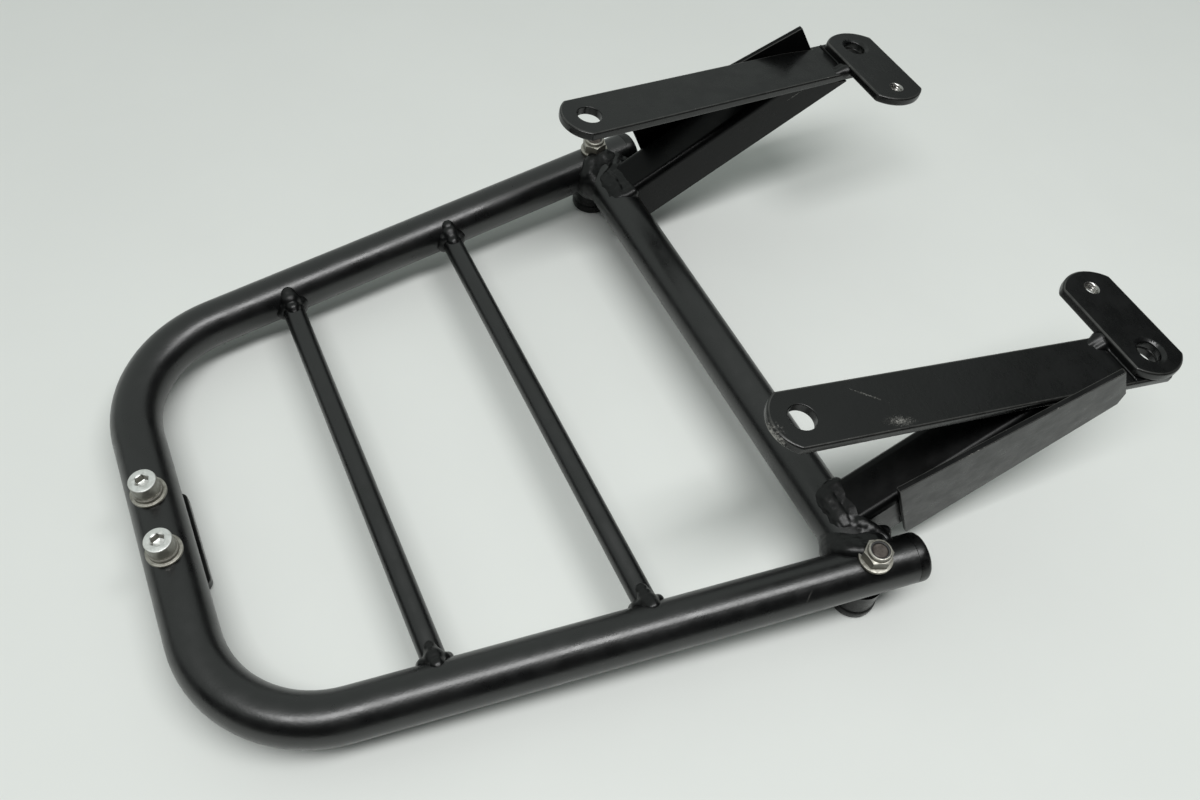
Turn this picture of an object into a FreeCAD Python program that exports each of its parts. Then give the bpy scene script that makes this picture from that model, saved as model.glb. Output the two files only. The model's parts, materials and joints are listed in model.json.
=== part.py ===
"""Motorbike top case bracket: a welded rack of bent tube, rods, flat bars and folded sheet.

Frame: +X forward, from the rear bar of the hoop to the end plates; +Y to the left; +Z up. The origin is
under the middle of the rack, on the plane that the two feet stand on. The hoop lies level. Every position
below is measured from the middle of the cross tube, and FRAME moves it to the origin.
"""

import math
import os

import FreeCAD
import Part
import Sketcher

DOCUMENT = FreeCAD.newDocument("top_case_bracket")
SHEET = DOCUMENT.addObject("Spreadsheet::Sheet", "sizes")

# Every driving size, in millimetres or degrees.
SIZES = {
    # where the middle of the cross tube stands in the part's frame
    "cross_tube_forward": 64.9,
    "cross_tube_height": 32.0,
    # the bent hoop and the cross tube
    "tube_diameter": 25.0,
    "tube_wall": 2.0,
    "rear_bar_back": 305.3,
    "arm_spacing_half": 157.6,
    "arm_splay": 8.42,
    "bend_radius": 62.0,
    "arm_overhang": 22.0,
    # the two thin rods
    "rod_diameter": 12.0,
    "rear_rod_back": 210.0,
    "front_rod_back": 109.0,
    # the sloping straps, placed at the hole near their free end; aside and inside are measured from the arm
    "strap_width": 32.0,
    "strap_thickness": 5.0,
    "strap_hole_back": 31.0,
    "strap_hole_aside": 48.9,
    "strap_hole_height": 87.1,
    "strap_hole_diameter": 14.0,
    "strap_yaw": 6.6,
    "strap_pitch": 8.3,
    "strap_run": 221.0,
    "strap_tip": 16.3,
    "strap_tip_radius": 18.5,
    # the end plates across the straps
    "end_plate_along": 202.2,
    "end_plate_aside": 19.3,
    "end_plate_depth": 36.0,
    "end_plate_length": 72.8,
    "end_plate_thickness": 5.0,
    "end_plate_radius": 23.5,
    "threaded_hole_aside": 23.9,
    "threaded_hole_diameter": 6.8,
    "clear_hole_aside": 20.7,
    "clear_hole_diameter": 13.0,
    "sink_diameter": 18.0,
    "sink_depth": 1.2,
    # the folded struts
    "strut_pitch": 26.6,
    "strut_inside": 44.6,
    "strut_sink": 0.2,
    "strut_start": 5.0,
    "web_width": 26.0,
    "flange_depth": 30.0,
    "outer_flange_depth": 38.0,
    "sheet_thickness": 3.0,
    "fold_radius": 4.5,
    # the tapered side plates, seen from the side
    "side_plate_inside": 18.3,
    "side_plate_yaw": 1.4,
    "side_plate_thickness": 3.0,
    "side_top_rear_forward": 14.1,
    "side_top_rear_height": 74.9,
    "side_top_front_forward": 131.8,
    "side_top_front_height": 111.2,
    "side_tip_forward": 148.4,
    "side_tip_height": 85.2,
    "side_low_front_forward": 148.6,
    "side_low_front_height": 75.6,
    "side_low_rear_forward": 40.4,
    "side_low_rear_height": 15.3,
    # plugs in the open tube ends
    "plug_rim": 6.5,
    "plug_edge": 2.0,
    "plug_shank": 12.0,
    # plate and screws at the rear bar
    "clamp_length": 56.0,
    "clamp_width": 26.0,
    "clamp_thickness": 5.0,
    "clamp_corner": 4.0,
    "screw_spacing_half": 17.0,
    "screw_diameter": 8.0,
    "screw_clearance": 8.8,
    "washer_bore": 8.4,
    "washer_gap": 1.2,
    "washer_gap_tilt": 15.0,
    "screw_protrusion": 2.0,
    "head_diameter": 13.0,
    "head_height": 8.0,
    "head_edge": 0.8,
    "socket_across": 6.0,
    "socket_depth": 4.5,
    "washer_diameter": 17.0,
    "washer_thickness": 1.6,
    "spring_washer_diameter": 14.2,
    "spring_washer_thickness": 2.2,
    # feet, their bolts and lock nuts
    "foot_diameter": 24.0,
    "foot_height": 19.5,
    "foot_edge": 2.0,
    "foot_recess_diameter": 16.0,
    "foot_recess_depth": 8.0,
    "bolt_head_across": 13.0,
    "bolt_head_height": 5.3,
    "bolt_end_height": 7.4,
    "nut_across": 13.0,
    "nut_hex_height": 5.8,
    "nut_collar_diameter": 12.0,
    "nut_height": 8.0,
    "nut_ring_diameter": 9.6,
    "nut_ring_height": 1.8,
    "nut_ring_lip": 0.4,
    # weld beads
    "rod_weld": 3.6,
    "tube_weld": 3.0,
    "tube_weld_trim": 10.0,
    "strut_weld_radius": 4.5,
    "end_plate_weld_radius": 2.4,
    "weld_margin": 3.0,
}

# Two points of the strut's section closer than this are the same.
SAME_POINT = 0.01

for number, (alias, value) in enumerate(SIZES.items(), start=1):
    SHEET.set(f"A{number}", alias.replace("_", " "))
    SHEET.set(f"B{number}", str(value))
    SHEET.setAlias(f"B{number}", alias)
DOCUMENT.recompute()

SUB_PARTS = []


def sized(text):
    """Write the sheet's name in front of every alias in an expression."""
    words = []
    word = ""
    for letter in text + " ":
        if letter.isalnum() or letter == "_":
            word += letter
            continue
        words.append("sizes." + word if word in SIZES else word)
        words.append(letter)
        word = ""
    return "".join(words).strip()


def turn(axis, angle):
    """Expression for a rotation about one axis of the frame."""
    vectors = {"x": "vector(1; 0; 0)", "y": "vector(0; 1; 0)", "z": "vector(0; 0; 1)"}
    return f"rotation({vectors[axis]}; {angle})"


def spot(forward, aside, up, rotation=None):
    """Expression for a placement measured from its parent frame."""
    return f"placement(vector({forward}; {aside}; {up}); {rotation or turn('z', '0')})"


# The radii of the tube's two walls.
OUTER = "tube_diameter / 2"
INNER = "tube_diameter / 2 - tube_wall"

# The middle of the cross tube, the strap's frame at its hole (on its top face) and the strut's frame.
FRAME = spot("cross_tube_forward", "0", "cross_tube_height")
STRAP = FRAME + " * " + spot(
    "-strap_hole_back",
    "arm_spacing_half - strap_hole_aside",
    "strap_hole_height",
    turn("z", "strap_yaw") + " * " + turn("y", "strap_pitch"),
)
END_PLATE = STRAP + " * " + spot("end_plate_along", "-end_plate_aside", "0", turn("z", "-strap_yaw"))
STRUT = FRAME + " * " + spot(
    "0",
    "arm_spacing_half - strut_inside",
    "tube_diameter / 2 - strut_sink",
    turn("y", "-strut_pitch"),
)
SIDE = FRAME + " * " + spot(
    "0",
    "arm_spacing_half - side_plate_inside",
    "-cross_tube_height",
    turn("z", "side_plate_yaw"),
)
LEFT_ARM = FRAME + " * " + spot("0", "arm_spacing_half", "0", turn("z", "arm_splay"))
RIGHT_ARM = FRAME + " * " + spot("0", "-arm_spacing_half", "0", turn("z", "-arm_splay"))


def make(kind, name, at=None, **sizes):
    """Add an object and bind its sizes and its place to the sheet."""
    item = DOCUMENT.addObject(kind, name)
    for size, text in sizes.items():
        item.setExpression(size, sized(text))
    if at is not None:
        item.setExpression("Placement", sized(at))
    return item


def cylinder(name, radius, height, at):
    """A round bar along its frame's Z."""
    return make("Part::Cylinder", name, at, Radius=radius, Height=height)


def box(name, length, width, height, at):
    """A block from its frame's origin."""
    return make("Part::Box", name, at, Length=length, Width=width, Height=height)


def hexagon(name, across, height, at):
    """A six-sided bar with the given width across its flats."""
    item = make("Part::Prism", name, at, Circumradius=f"({across}) / (2 * cos(30))", Height=height)
    item.Polygon = 6
    return item


def fuse(name, *items):
    """Several solids in one."""
    item = DOCUMENT.addObject("Part::MultiFuse", name)
    item.Shapes = list(items)
    item.Refine = True
    return item


def cut(name, base, *tools):
    """A solid with one or more tools taken out of it."""
    tool = tools[0] if len(tools) == 1 else fuse(name + "_tools", *tools)
    item = DOCUMENT.addObject("Part::Cut", name)
    item.Base = base
    item.Tool = tool
    item.Refine = True
    return item


def common(name, first, second):
    """The volume that two solids share."""
    item = DOCUMENT.addObject("Part::Common", name)
    item.Base = first
    item.Tool = second
    item.Refine = True
    return item


def mirrored(name, source):
    """The same solid on the other side of the middle plane."""
    item = DOCUMENT.addObject("Part::Mirroring", name)
    item.Source = source
    item.Base = FreeCAD.Vector(0, 0, 0)
    item.Normal = FreeCAD.Vector(0, 1, 0)
    return item


def together(name, *items):
    """Separate solids of one kind, kept in one object."""
    item = DOCUMENT.addObject("Part::Compound", name)
    item.Links = list(items)
    return item


def sub_part(item, label):
    """Give a finished piece its label and list it for writing."""
    item.Label = label
    SUB_PARTS.append(item)
    return item


def plane_of(body, role):
    """One of a body's own origin planes."""
    return next(plane for plane in body.Origin.OriginFeatures if plane.Role == role)


def outline(body, name, role, corners):
    """A closed outline in a body's own plane, each corner held by two sizes from the sheet."""
    sketch = body.newObject("Sketcher::SketchObject", name)
    sketch.AttachmentSupport = [(plane_of(body, role), "")]
    sketch.MapMode = "FlatFace"
    points = []
    for across, up in corners:
        points.append(FreeCAD.Vector(value_of(across), value_of(up), 0))
    count = len(points)
    for index in range(count):
        sketch.addGeometry(Part.LineSegment(points[index], points[(index + 1) % count]), False)
    for index in range(count):
        sketch.addConstraint(Sketcher.Constraint("Coincident", index, 2, (index + 1) % count, 1))
    for index, (across, up) in enumerate(corners):
        for kind, text in (("DistanceX", across), ("DistanceY", up)):
            held = sketch.addConstraint(Sketcher.Constraint(kind, -1, 1, index, 1, value_of(text)))
            sketch.setExpression(f"Constraints[{held}]", sized(text))
    return sketch


def value_of(text):
    """The present value of a sum of sheet sizes, each of them whole or divided by a number."""
    total = 0.0
    for term in text.replace(" - ", " + -").split(" + "):
        sign = -1.0 if term.startswith("-") else 1.0
        first, _, divisor = term.lstrip("-").partition(" / ")
        amount = SIZES[first] if first in SIZES else float(first)
        total += sign * amount / float(divisor or 1)
    return total


def swept(body, name, sketch, length, reverse=False):
    """An outline drawn out straight."""
    pad = body.newObject("PartDesign::Pad", name)
    pad.Profile = sketch
    pad.Reversed = reverse
    pad.setExpression("Length", sized(length))
    return pad


def turned(label, corners, at):
    """A round piece: half of its section, turned about its frame's Z."""
    body = DOCUMENT.addObject("PartDesign::Body", label)
    section = outline(body, label + "_section", "XZ_Plane", corners)
    ring = body.newObject("PartDesign::Revolution", label + "_turned")
    ring.Profile = section
    ring.ReferenceAxis = (section, ["V_Axis"])
    ring.Angle = 360.0
    body.setExpression("Placement", sized(at))
    return body


def held(sketch, kind, geometry, point, text, value):
    """Hold one point of a sketch at a distance from its origin."""
    number = sketch.addConstraint(Sketcher.Constraint(kind, -1, 1, geometry, point, value))
    sketch.setExpression(f"Constraints[{number}]", sized(text))


def rounded(sketch, geometry, text, value):
    """Give a circle or an arc of a sketch its radius."""
    number = sketch.addConstraint(Sketcher.Constraint("Radius", geometry, value))
    sketch.setExpression(f"Constraints[{number}]", sized(text))


def hoop_line(body):
    """The hoop's middle line: arm, bend, rear bar, bend and arm, each tangent to the next."""
    splay = math.radians(SIZES["arm_splay"])
    radius = SIZES["bend_radius"]
    spacing = SIZES["arm_spacing_half"]
    back = SIZES["rear_bar_back"]
    end_x = SIZES["arm_overhang"]
    end_y = spacing + math.tan(splay) * end_x
    bend_x = radius - back
    bend_y = spacing + math.tan(splay) * bend_x - radius / math.cos(splay)
    arm_x = bend_x - radius * math.sin(splay)
    arm_y = bend_y + radius * math.cos(splay)
    sketch = body.newObject("Sketcher::SketchObject", "hoop_line")
    sketch.AttachmentSupport = [(plane_of(body, "XY_Plane"), "")]
    sketch.MapMode = "FlatFace"
    upwards = FreeCAD.Vector(0, 0, 1)
    left_circle = Part.Circle(FreeCAD.Vector(bend_x, bend_y, 0), upwards, radius)
    right_circle = Part.Circle(FreeCAD.Vector(bend_x, -bend_y, 0), upwards, radius)
    quarter = math.pi / 2
    runs = [
        Part.LineSegment(FreeCAD.Vector(end_x, end_y, 0), FreeCAD.Vector(arm_x, arm_y, 0)),
        Part.ArcOfCircle(left_circle, quarter + splay, 2 * quarter),
        Part.LineSegment(FreeCAD.Vector(-back, bend_y, 0), FreeCAD.Vector(-back, -bend_y, 0)),
        Part.ArcOfCircle(right_circle, 2 * quarter, 3 * quarter - splay),
        Part.LineSegment(FreeCAD.Vector(arm_x, -arm_y, 0), FreeCAD.Vector(end_x, -end_y, 0)),
    ]
    for run in runs:
        sketch.addGeometry(run, False)
    for index in range(len(runs) - 1):
        sketch.addConstraint(Sketcher.Constraint("Tangent", index, 2, index + 1, 1))
    sketch.addConstraint(Sketcher.Constraint("Vertical", 2))
    rounded(sketch, 1, "bend_radius", radius)
    rounded(sketch, 3, "bend_radius", radius)
    aside = "arm_spacing_half + tan(arm_splay) * arm_overhang"
    forward = "(bend_radius - rear_bar_back)"
    middle = f"arm_spacing_half + tan(arm_splay) * {forward} - bend_radius / cos(arm_splay)"
    held(sketch, "DistanceX", 0, 1, "arm_overhang", end_x)
    held(sketch, "DistanceY", 0, 1, aside, end_y)
    held(sketch, "DistanceX", 4, 2, "arm_overhang", end_x)
    held(sketch, "DistanceY", 4, 2, f"-({aside})", -end_y)
    held(sketch, "DistanceX", 2, 1, "-rear_bar_back", -back)
    held(sketch, "DistanceY", 1, 3, middle, bend_y)
    held(sketch, "DistanceY", 3, 3, f"-({middle})", -bend_y)
    return sketch


def hoop(name):
    """The bent tube, its ring-shaped section drawn along the hoop's middle line."""
    body = DOCUMENT.addObject("PartDesign::Body", name)
    line = hoop_line(body)
    section = body.newObject("Sketcher::SketchObject", "hoop_section")
    centre = FreeCAD.Vector(0, 0, 0)
    outer = SIZES["tube_diameter"] / 2
    for index, (text, radius) in enumerate(((OUTER, outer), (INNER, outer - SIZES["tube_wall"]))):
        section.addGeometry(Part.Circle(centre, FreeCAD.Vector(0, 0, 1), radius), False)
        section.addConstraint(Sketcher.Constraint("Coincident", index, 3, -1, 1))
        rounded(section, index, text, radius)
    end = spot(
        "arm_overhang",
        "arm_spacing_half + tan(arm_splay) * arm_overhang",
        "0",
        turn("z", "arm_splay") + " * " + turn("y", "90"),
    )
    section.setExpression("Placement", sized(end))
    DOCUMENT.recompute()
    pipe = body.newObject("PartDesign::AdditivePipe", name + "_bent")
    pipe.Profile = section
    pipe.Spine = (line, [f"Edge{number}" for number in range(1, len(line.Geometry) + 1)])
    body.setExpression("Placement", sized(FRAME))
    return body


def arms(name, radius):
    """Both arms as long solid bars, for trimming what is welded between them."""
    bars = []
    for side, frame in (("left", LEFT_ARM), ("right", RIGHT_ARM)):
        start = frame + " * " + spot("-rear_bar_back", "0", "0", turn("y", "90"))
        bars.append(cylinder(f"{name}_{side}", radius, "rear_bar_back + arm_overhang + weld_margin", start))
    return bars


def crossbar(name, radius, back, inset="0"):
    """A bar from arm to arm at one distance behind the cross tube."""
    half = f"(arm_spacing_half - tan(arm_splay) * ({back}) - ({inset}))"
    start = FRAME + " * " + spot(f"-({back})", f"-{half}", "0", turn("x", "-90"))
    return cylinder(name, radius, f"2 * {half}", start)


# The hoop: a bent tube, drilled for the rear screws and for the two foot bolts.
rear_bores = []
foot_bores = []
for side, sign in (("left", ""), ("right", "-")):
    rear_spot = FRAME + " * " + spot("-rear_bar_back", f"{sign}screw_spacing_half", "-tube_diameter")
    foot_spot = FRAME + " * " + spot("0", f"{sign}arm_spacing_half", "-tube_diameter")
    rear_bores.append(cylinder(f"{side}_rear_bore", "screw_clearance / 2", "2 * tube_diameter", rear_spot))
    foot_bores.append(cylinder(f"{side}_foot_bore", "screw_clearance / 2", "2 * tube_diameter", foot_spot))
hoop_tube = cut("hoop", hoop("hoop_body"), *rear_bores, *foot_bores)
sub_part(hoop_tube, "hoop_tube")

# The cross tube and the rods end in saddles that fit the arms; the foot bolts pass the saddles' lips.
cross_solid = crossbar("cross_solid", OUTER, "0")
cross_inside = crossbar("cross_inside", INNER, "0")
cross_tube = cut("cross", cross_solid, cross_inside, *foot_bores, *arms("cross_arms", OUTER))
sub_part(cross_tube, "cross_tube")
rear_rod = cut(
    "rod_rear", crossbar("rear_rod_solid", "rod_diameter / 2", "rear_rod_back"), *arms("rear_arms", OUTER)
)
sub_part(rear_rod, "rear_rod")
front_rod = cut(
    "rod_front", crossbar("front_rod_solid", "rod_diameter / 2", "front_rod_back"), *arms("front_arms", OUTER)
)
sub_part(front_rod, "front_rod")

# The side plate: a tapered plate that stands outside the strut, its long edges at two slopes.
side_body = DOCUMENT.addObject("PartDesign::Body", "side_body")
side_outline = outline(
    side_body,
    "side_outline",
    "XZ_Plane",
    [
        ("side_top_rear_forward", "side_top_rear_height"),
        ("side_low_rear_forward", "side_low_rear_height"),
        ("side_low_front_forward", "side_low_front_height"),
        ("side_tip_forward", "side_tip_height"),
        ("side_top_front_forward", "side_top_front_height"),
    ],
)
swept(side_body, "side_thickness", side_outline, "side_plate_thickness", reverse=True)
side_body.setExpression("Placement", sized(SIDE))
sub_part(side_body, "left_side_plate")
sub_part(mirrored("right_side", side_body), "right_side_plate")

# The strap: a flat bar with a rounded free end, a hole there and a second hole under the end plate.
strap_blank = box(
    "strap_blank",
    "strap_run + strap_tip",
    "strap_width",
    "strap_thickness",
    STRAP + " * " + spot("-strap_tip", "-strap_width / 2", "-strap_thickness"),
)
strap_round = cylinder(
    "strap_round",
    "strap_tip_radius",
    "3 * strap_thickness",
    STRAP + " * " + spot("strap_tip_radius - strap_tip", "0", "-2 * strap_thickness"),
)
strap_body_block = box(
    "strap_body_block",
    "strap_run + strap_tip",
    "2 * strap_width",
    "3 * strap_thickness",
    STRAP + " * " + spot("strap_tip_radius - strap_tip", "-strap_width", "-2 * strap_thickness"),
)
strap_front_round = cylinder(
    "strap_front_round",
    "strap_tip_radius",
    "3 * strap_thickness",
    STRAP + " * " + spot("strap_run - strap_tip_radius", "0", "-2 * strap_thickness"),
)
strap_rear_block = box(
    "strap_rear_block",
    "strap_run + strap_tip",
    "2 * strap_width",
    "3 * strap_thickness",
    STRAP + " * " + spot("-strap_tip_radius - strap_tip", "-strap_width", "-2 * strap_thickness"),
)
strap_hole = cylinder(
    "strap_hole",
    "strap_hole_diameter / 2",
    "3 * strap_thickness",
    STRAP + " * " + spot("0", "0", "-2 * strap_thickness"),
)
clear_hole_low = cylinder(
    "clear_hole_low",
    "clear_hole_diameter / 2",
    "3 * strap_thickness",
    END_PLATE + " * " + spot("0", "clear_hole_aside", "-2 * strap_thickness"),
)
strap_rear_form = fuse("strap_rear_form", strap_round, strap_body_block)
strap_rear_shaped = common("strap_rear_shaped", strap_blank, strap_rear_form)
strap_front_form = fuse("strap_front_form", strap_front_round, strap_rear_block)
strap_shaped = common("strap_shaped", strap_rear_shaped, strap_front_form)
strap = cut("strap", strap_shaped, strap_hole, clear_hole_low, side_body)
sub_part(strap, "left_strap")
sub_part(mirrored("strap_other", strap), "right_strap")

# The end plate: a flat bar across the strap's front end, both of its ends shallow arcs.
plate_blank = box(
    "plate_blank",
    "end_plate_depth",
    "end_plate_length",
    "end_plate_thickness",
    END_PLATE + " * " + spot("-end_plate_depth / 2", "-end_plate_length / 2", "0"),
)
plate_forms = []
for side, sign in (("inner", "-"), ("outer", "")):
    offset = "(end_plate_length / 2 - end_plate_radius)"
    centre = f"{sign}{offset}"
    plate_forms.append(
        cylinder(
            f"plate_{side}_round",
            "end_plate_radius",
            "3 * end_plate_thickness",
            END_PLATE + " * " + spot("0", centre, "-end_plate_thickness"),
        )
    )
plate_forms.append(
    box(
        "plate_middle",
        "2 * end_plate_depth",
        "end_plate_length - 2 * end_plate_radius",
        "3 * end_plate_thickness",
        END_PLATE
        + " * "
        + spot("-end_plate_depth", "end_plate_radius - end_plate_length / 2", "-end_plate_thickness"),
    )
)
plate_shaped = common("plate_shaped", plate_blank, fuse("plate_form", *plate_forms))
threaded_hole = cylinder(
    "threaded_hole",
    "threaded_hole_diameter / 2",
    "3 * end_plate_thickness",
    END_PLATE + " * " + spot("0", "-threaded_hole_aside", "-end_plate_thickness"),
)
clear_hole = cylinder(
    "clear_hole",
    "clear_hole_diameter / 2",
    "3 * end_plate_thickness",
    END_PLATE + " * " + spot("0", "clear_hole_aside", "-end_plate_thickness"),
)
sink = make(
    "Part::Cone",
    "sink",
    END_PLATE + " * " + spot("0", "clear_hole_aside", "end_plate_thickness - sink_depth"),
    Radius1="clear_hole_diameter / 2",
    Radius2="sink_diameter / 2",
    Height="sink_depth",
)
end_plate = cut("end_plate", plate_shaped, threaded_hole, clear_hole, sink)
sub_part(end_plate, "left_end_plate")
sub_part(mirrored("end_plate_other", end_plate), "right_end_plate")

# The strut: a folded channel, its web under the strap, its flanges turned down, the outer one deeper.
strut_body = DOCUMENT.addObject("PartDesign::Body", "strut_body")
strut_section = outline(
    strut_body,
    "strut_section",
    "YZ_Plane",
    [
        ("0", "0"),
        ("0", "-flange_depth"),
        ("sheet_thickness", "-flange_depth"),
        ("sheet_thickness", "-sheet_thickness"),
        ("web_width - sheet_thickness", "-sheet_thickness"),
        ("web_width - sheet_thickness", "-outer_flange_depth"),
        ("web_width", "-outer_flange_depth"),
        ("web_width", "0"),
    ],
)
swept(strut_body, "strut_drawn", strut_section, "strap_run")
strut_body.setExpression("Placement", sized(STRUT + " * " + spot("strut_start", "0", "0")))
DOCUMENT.recompute()


def edge_at(shape, across, up):
    """Name of the long edge of the strut that passes through one point of its section."""
    for index, edge in enumerate(shape.Edges, start=1):
        start = edge.Vertexes[0].Point
        end = edge.Vertexes[-1].Point
        long_enough = abs(end.x - start.x) > SIZES["strap_run"] / 2
        if long_enough and abs(start.y - across) < SAME_POINT and abs(start.z - up) < SAME_POINT:
            return f"Edge{index}"
    raise RuntimeError("the fold's edge is missing")


strut_drawn = DOCUMENT.getObject("strut_drawn")
sheet = SIZES["sheet_thickness"]
web = SIZES["web_width"]
outer_fold = strut_body.newObject("PartDesign::Fillet", "outer_fold")
outer_fold.Base = (strut_drawn, [edge_at(strut_drawn.Shape, across, 0.0) for across in (0.0, web)])
outer_fold.setExpression("Radius", sized("fold_radius"))
DOCUMENT.recompute()
inner_fold = strut_body.newObject("PartDesign::Fillet", "inner_fold")
inner_fold.Base = (outer_fold, [edge_at(outer_fold.Shape, across, -sheet) for across in (sheet, web - sheet)])
inner_fold.setExpression("Radius", sized("fold_radius - sheet_thickness"))
# The strut is drawn too long, and ends at the strap's underside and at the side plate.
above_strap = box(
    "above_strap",
    "3 * strap_run",
    "strap_run",
    "strap_run",
    STRAP + " * " + spot("-strap_run", "-strap_run / 2", "-strap_thickness"),
)
beyond_side = box(
    "beyond_side",
    "3 * strap_run",
    "strap_run",
    "3 * strap_run",
    SIDE + " * " + spot("-strap_run", "0", "-strap_run"),
)
strut = cut("strut", strut_body, above_strap, beyond_side, cross_solid)
sub_part(strut, "left_strut")
sub_part(mirrored("strut_other", strut), "right_strut")

# Plugs in the open tube ends: a rim as wide as the tube and a shank that fills it.
plug = turned(
    "plug_body",
    [
        ("0", "plug_rim"),
        ("0", "-plug_shank"),
        ("tube_diameter / 2 - tube_wall", "-plug_shank"),
        ("tube_diameter / 2 - tube_wall", "0"),
        ("tube_diameter / 2", "0"),
        ("tube_diameter / 2", "plug_rim - plug_edge"),
        ("tube_diameter / 2 - plug_edge", "plug_rim"),
    ],
    LEFT_ARM + " * " + spot("arm_overhang / cos(arm_splay)", "0", "0", turn("y", "90")),
)
sub_part(plug, "left_end_plug")
sub_part(mirrored("plug_other", plug), "right_end_plug")

# The clamp plate under the rear bar, with rounded corners and two threaded holes.
clamp_body = DOCUMENT.addObject("PartDesign::Body", "clamp_body")
clamp_outline = outline(
    clamp_body,
    "clamp_outline",
    "XY_Plane",
    [
        ("-clamp_width / 2", "-clamp_length / 2"),
        ("clamp_width / 2", "-clamp_length / 2"),
        ("clamp_width / 2", "clamp_length / 2"),
        ("-clamp_width / 2", "clamp_length / 2"),
    ],
)
clamp_pad = swept(clamp_body, "clamp_pad", clamp_outline, "clamp_thickness")
clamp_body.setExpression(
    "Placement", sized(FRAME + " * " + spot("-rear_bar_back", "0", "-tube_diameter / 2 - clamp_thickness"))
)
DOCUMENT.recompute()
upright = []
for number, edge in enumerate(clamp_pad.Shape.Edges, start=1):
    if abs(edge.Vertexes[0].Point.z - edge.Vertexes[-1].Point.z) > SIZES["clamp_thickness"] / 2:
        upright.append(f"Edge{number}")
clamp_corners = clamp_body.newObject("PartDesign::Fillet", "clamp_corners")
clamp_corners.Base = (clamp_pad, upright)
clamp_corners.setExpression("Radius", sized("clamp_corner"))

# Socket head screws on the rear bar, each on a spring washer and a flat washer.
CREST = "tube_diameter / 2"
SCREW = FRAME + " * " + spot("-rear_bar_back", "screw_spacing_half", CREST)
SCREW_END = "-spring_washer_thickness - washer_thickness - tube_diameter - clamp_thickness - screw_protrusion"
screw_bar = turned(
    "screw_bar",
    [
        ("0", "head_height"),
        ("0", SCREW_END),
        ("screw_diameter / 2", SCREW_END),
        ("screw_diameter / 2", "0"),
        ("head_diameter / 2", "0"),
        ("head_diameter / 2", "head_height - head_edge"),
        ("head_diameter / 2 - head_edge", "head_height"),
    ],
    SCREW + " * " + spot("0", "0", "washer_thickness + spring_washer_thickness"),
)
socket = hexagon(
    "socket",
    "socket_across",
    "head_height",
    SCREW + " * " + spot("0", "0", "washer_thickness + spring_washer_thickness + head_height - socket_depth"),
)
screw = cut("screw", screw_bar, socket)
screw_pair = together("screw_pair", screw, mirrored("screw_other", screw))


def ring(name, outside, inside, height, at):
    """A flat ring."""
    body = cylinder(name + "_disc", outside, height, at)
    hole = cylinder(name + "_hole", inside, height, at)
    return cut(name, body, hole)


spring_ring = ring(
    "spring_ring",
    "spring_washer_diameter / 2",
    "washer_bore / 2",
    "spring_washer_thickness",
    SCREW + " * " + spot("0", "0", "washer_thickness"),
)
spring_gap = box(
    "spring_gap",
    "spring_washer_diameter",
    "washer_gap",
    "3 * spring_washer_thickness",
    SCREW
    + " * "
    + spot("0", "0", "washer_thickness - spring_washer_thickness", turn("x", "washer_gap_tilt")),
)
spring_washer = cut("spring_washer", spring_ring, spring_gap)
rear_washer = ring("rear_washer", "washer_diameter / 2", "washer_bore / 2", "washer_thickness", SCREW)
clamp_plate = cut("clamp", clamp_body, screw_pair)
sub_part(clamp_plate, "clamp_plate")
sub_part(screw_pair, "rear_screws")
spring_pair = together("spring_pair", spring_washer, mirrored("spring_other", spring_washer))
sub_part(spring_pair, "rear_spring_washers")
rear_washer_pair = together("rear_washer_pair", rear_washer, mirrored("rear_washer_other", rear_washer))
sub_part(rear_washer_pair, "rear_washers")

# Feet under the arms: buffers with a recess for the bolt head, saddled to the tubes above them.
FOOT = FRAME + " * " + spot("0", "arm_spacing_half", "-tube_diameter / 2 - foot_height")
foot_solid = turned(
    "foot_solid",
    [
        ("screw_clearance / 2", "foot_height + weld_margin"),
        ("screw_clearance / 2", "foot_recess_depth"),
        ("foot_recess_diameter / 2", "foot_recess_depth"),
        ("foot_recess_diameter / 2", "0"),
        ("foot_diameter / 2 - foot_edge", "0"),
        ("foot_diameter / 2", "foot_edge"),
        ("foot_diameter / 2", "foot_height + weld_margin"),
    ],
    FOOT,
)
foot = cut("foot", foot_solid, cross_solid, *arms("foot_arms", OUTER))
sub_part(foot, "left_foot")
sub_part(mirrored("foot_other", foot), "right_foot")

# Foot bolts, washers, lock nuts and the nylon rings in their collars.
NUT = FRAME + " * " + spot("0", "arm_spacing_half", "tube_diameter / 2 + washer_thickness")
bolt_shank = cylinder(
    "bolt_shank",
    "screw_diameter / 2",
    "foot_height - foot_recess_depth + tube_diameter + washer_thickness + bolt_end_height",
    FOOT + " * " + spot("0", "0", "foot_recess_depth"),
)
bolt_head = hexagon(
    "bolt_head",
    "bolt_head_across",
    "bolt_head_height",
    FOOT + " * " + spot("0", "0", "foot_recess_depth - bolt_head_height"),
)
foot_bolt = fuse("foot_bolt", bolt_shank, bolt_head)
sub_part(together("foot_bolt_pair", foot_bolt, mirrored("foot_bolt_other", foot_bolt)), "foot_bolts")
foot_washer = ring(
    "foot_washer",
    "washer_diameter / 2",
    "washer_bore / 2",
    "washer_thickness",
    NUT + " * " + spot("0", "0", "-washer_thickness"),
)
foot_washer_pair = together("foot_washer_pair", foot_washer, mirrored("foot_washer_other", foot_washer))
sub_part(foot_washer_pair, "foot_washers")
nut_hexagon = hexagon("nut_hexagon", "nut_across", "nut_hex_height", NUT)
nut_collar = cylinder("nut_collar", "nut_collar_diameter / 2", "nut_height", NUT)
nut_bore = cylinder(
    "nut_bore",
    "screw_diameter / 2",
    "2 * nut_height",
    NUT + " * " + spot("0", "0", "-nut_height / 2"),
)
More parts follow.
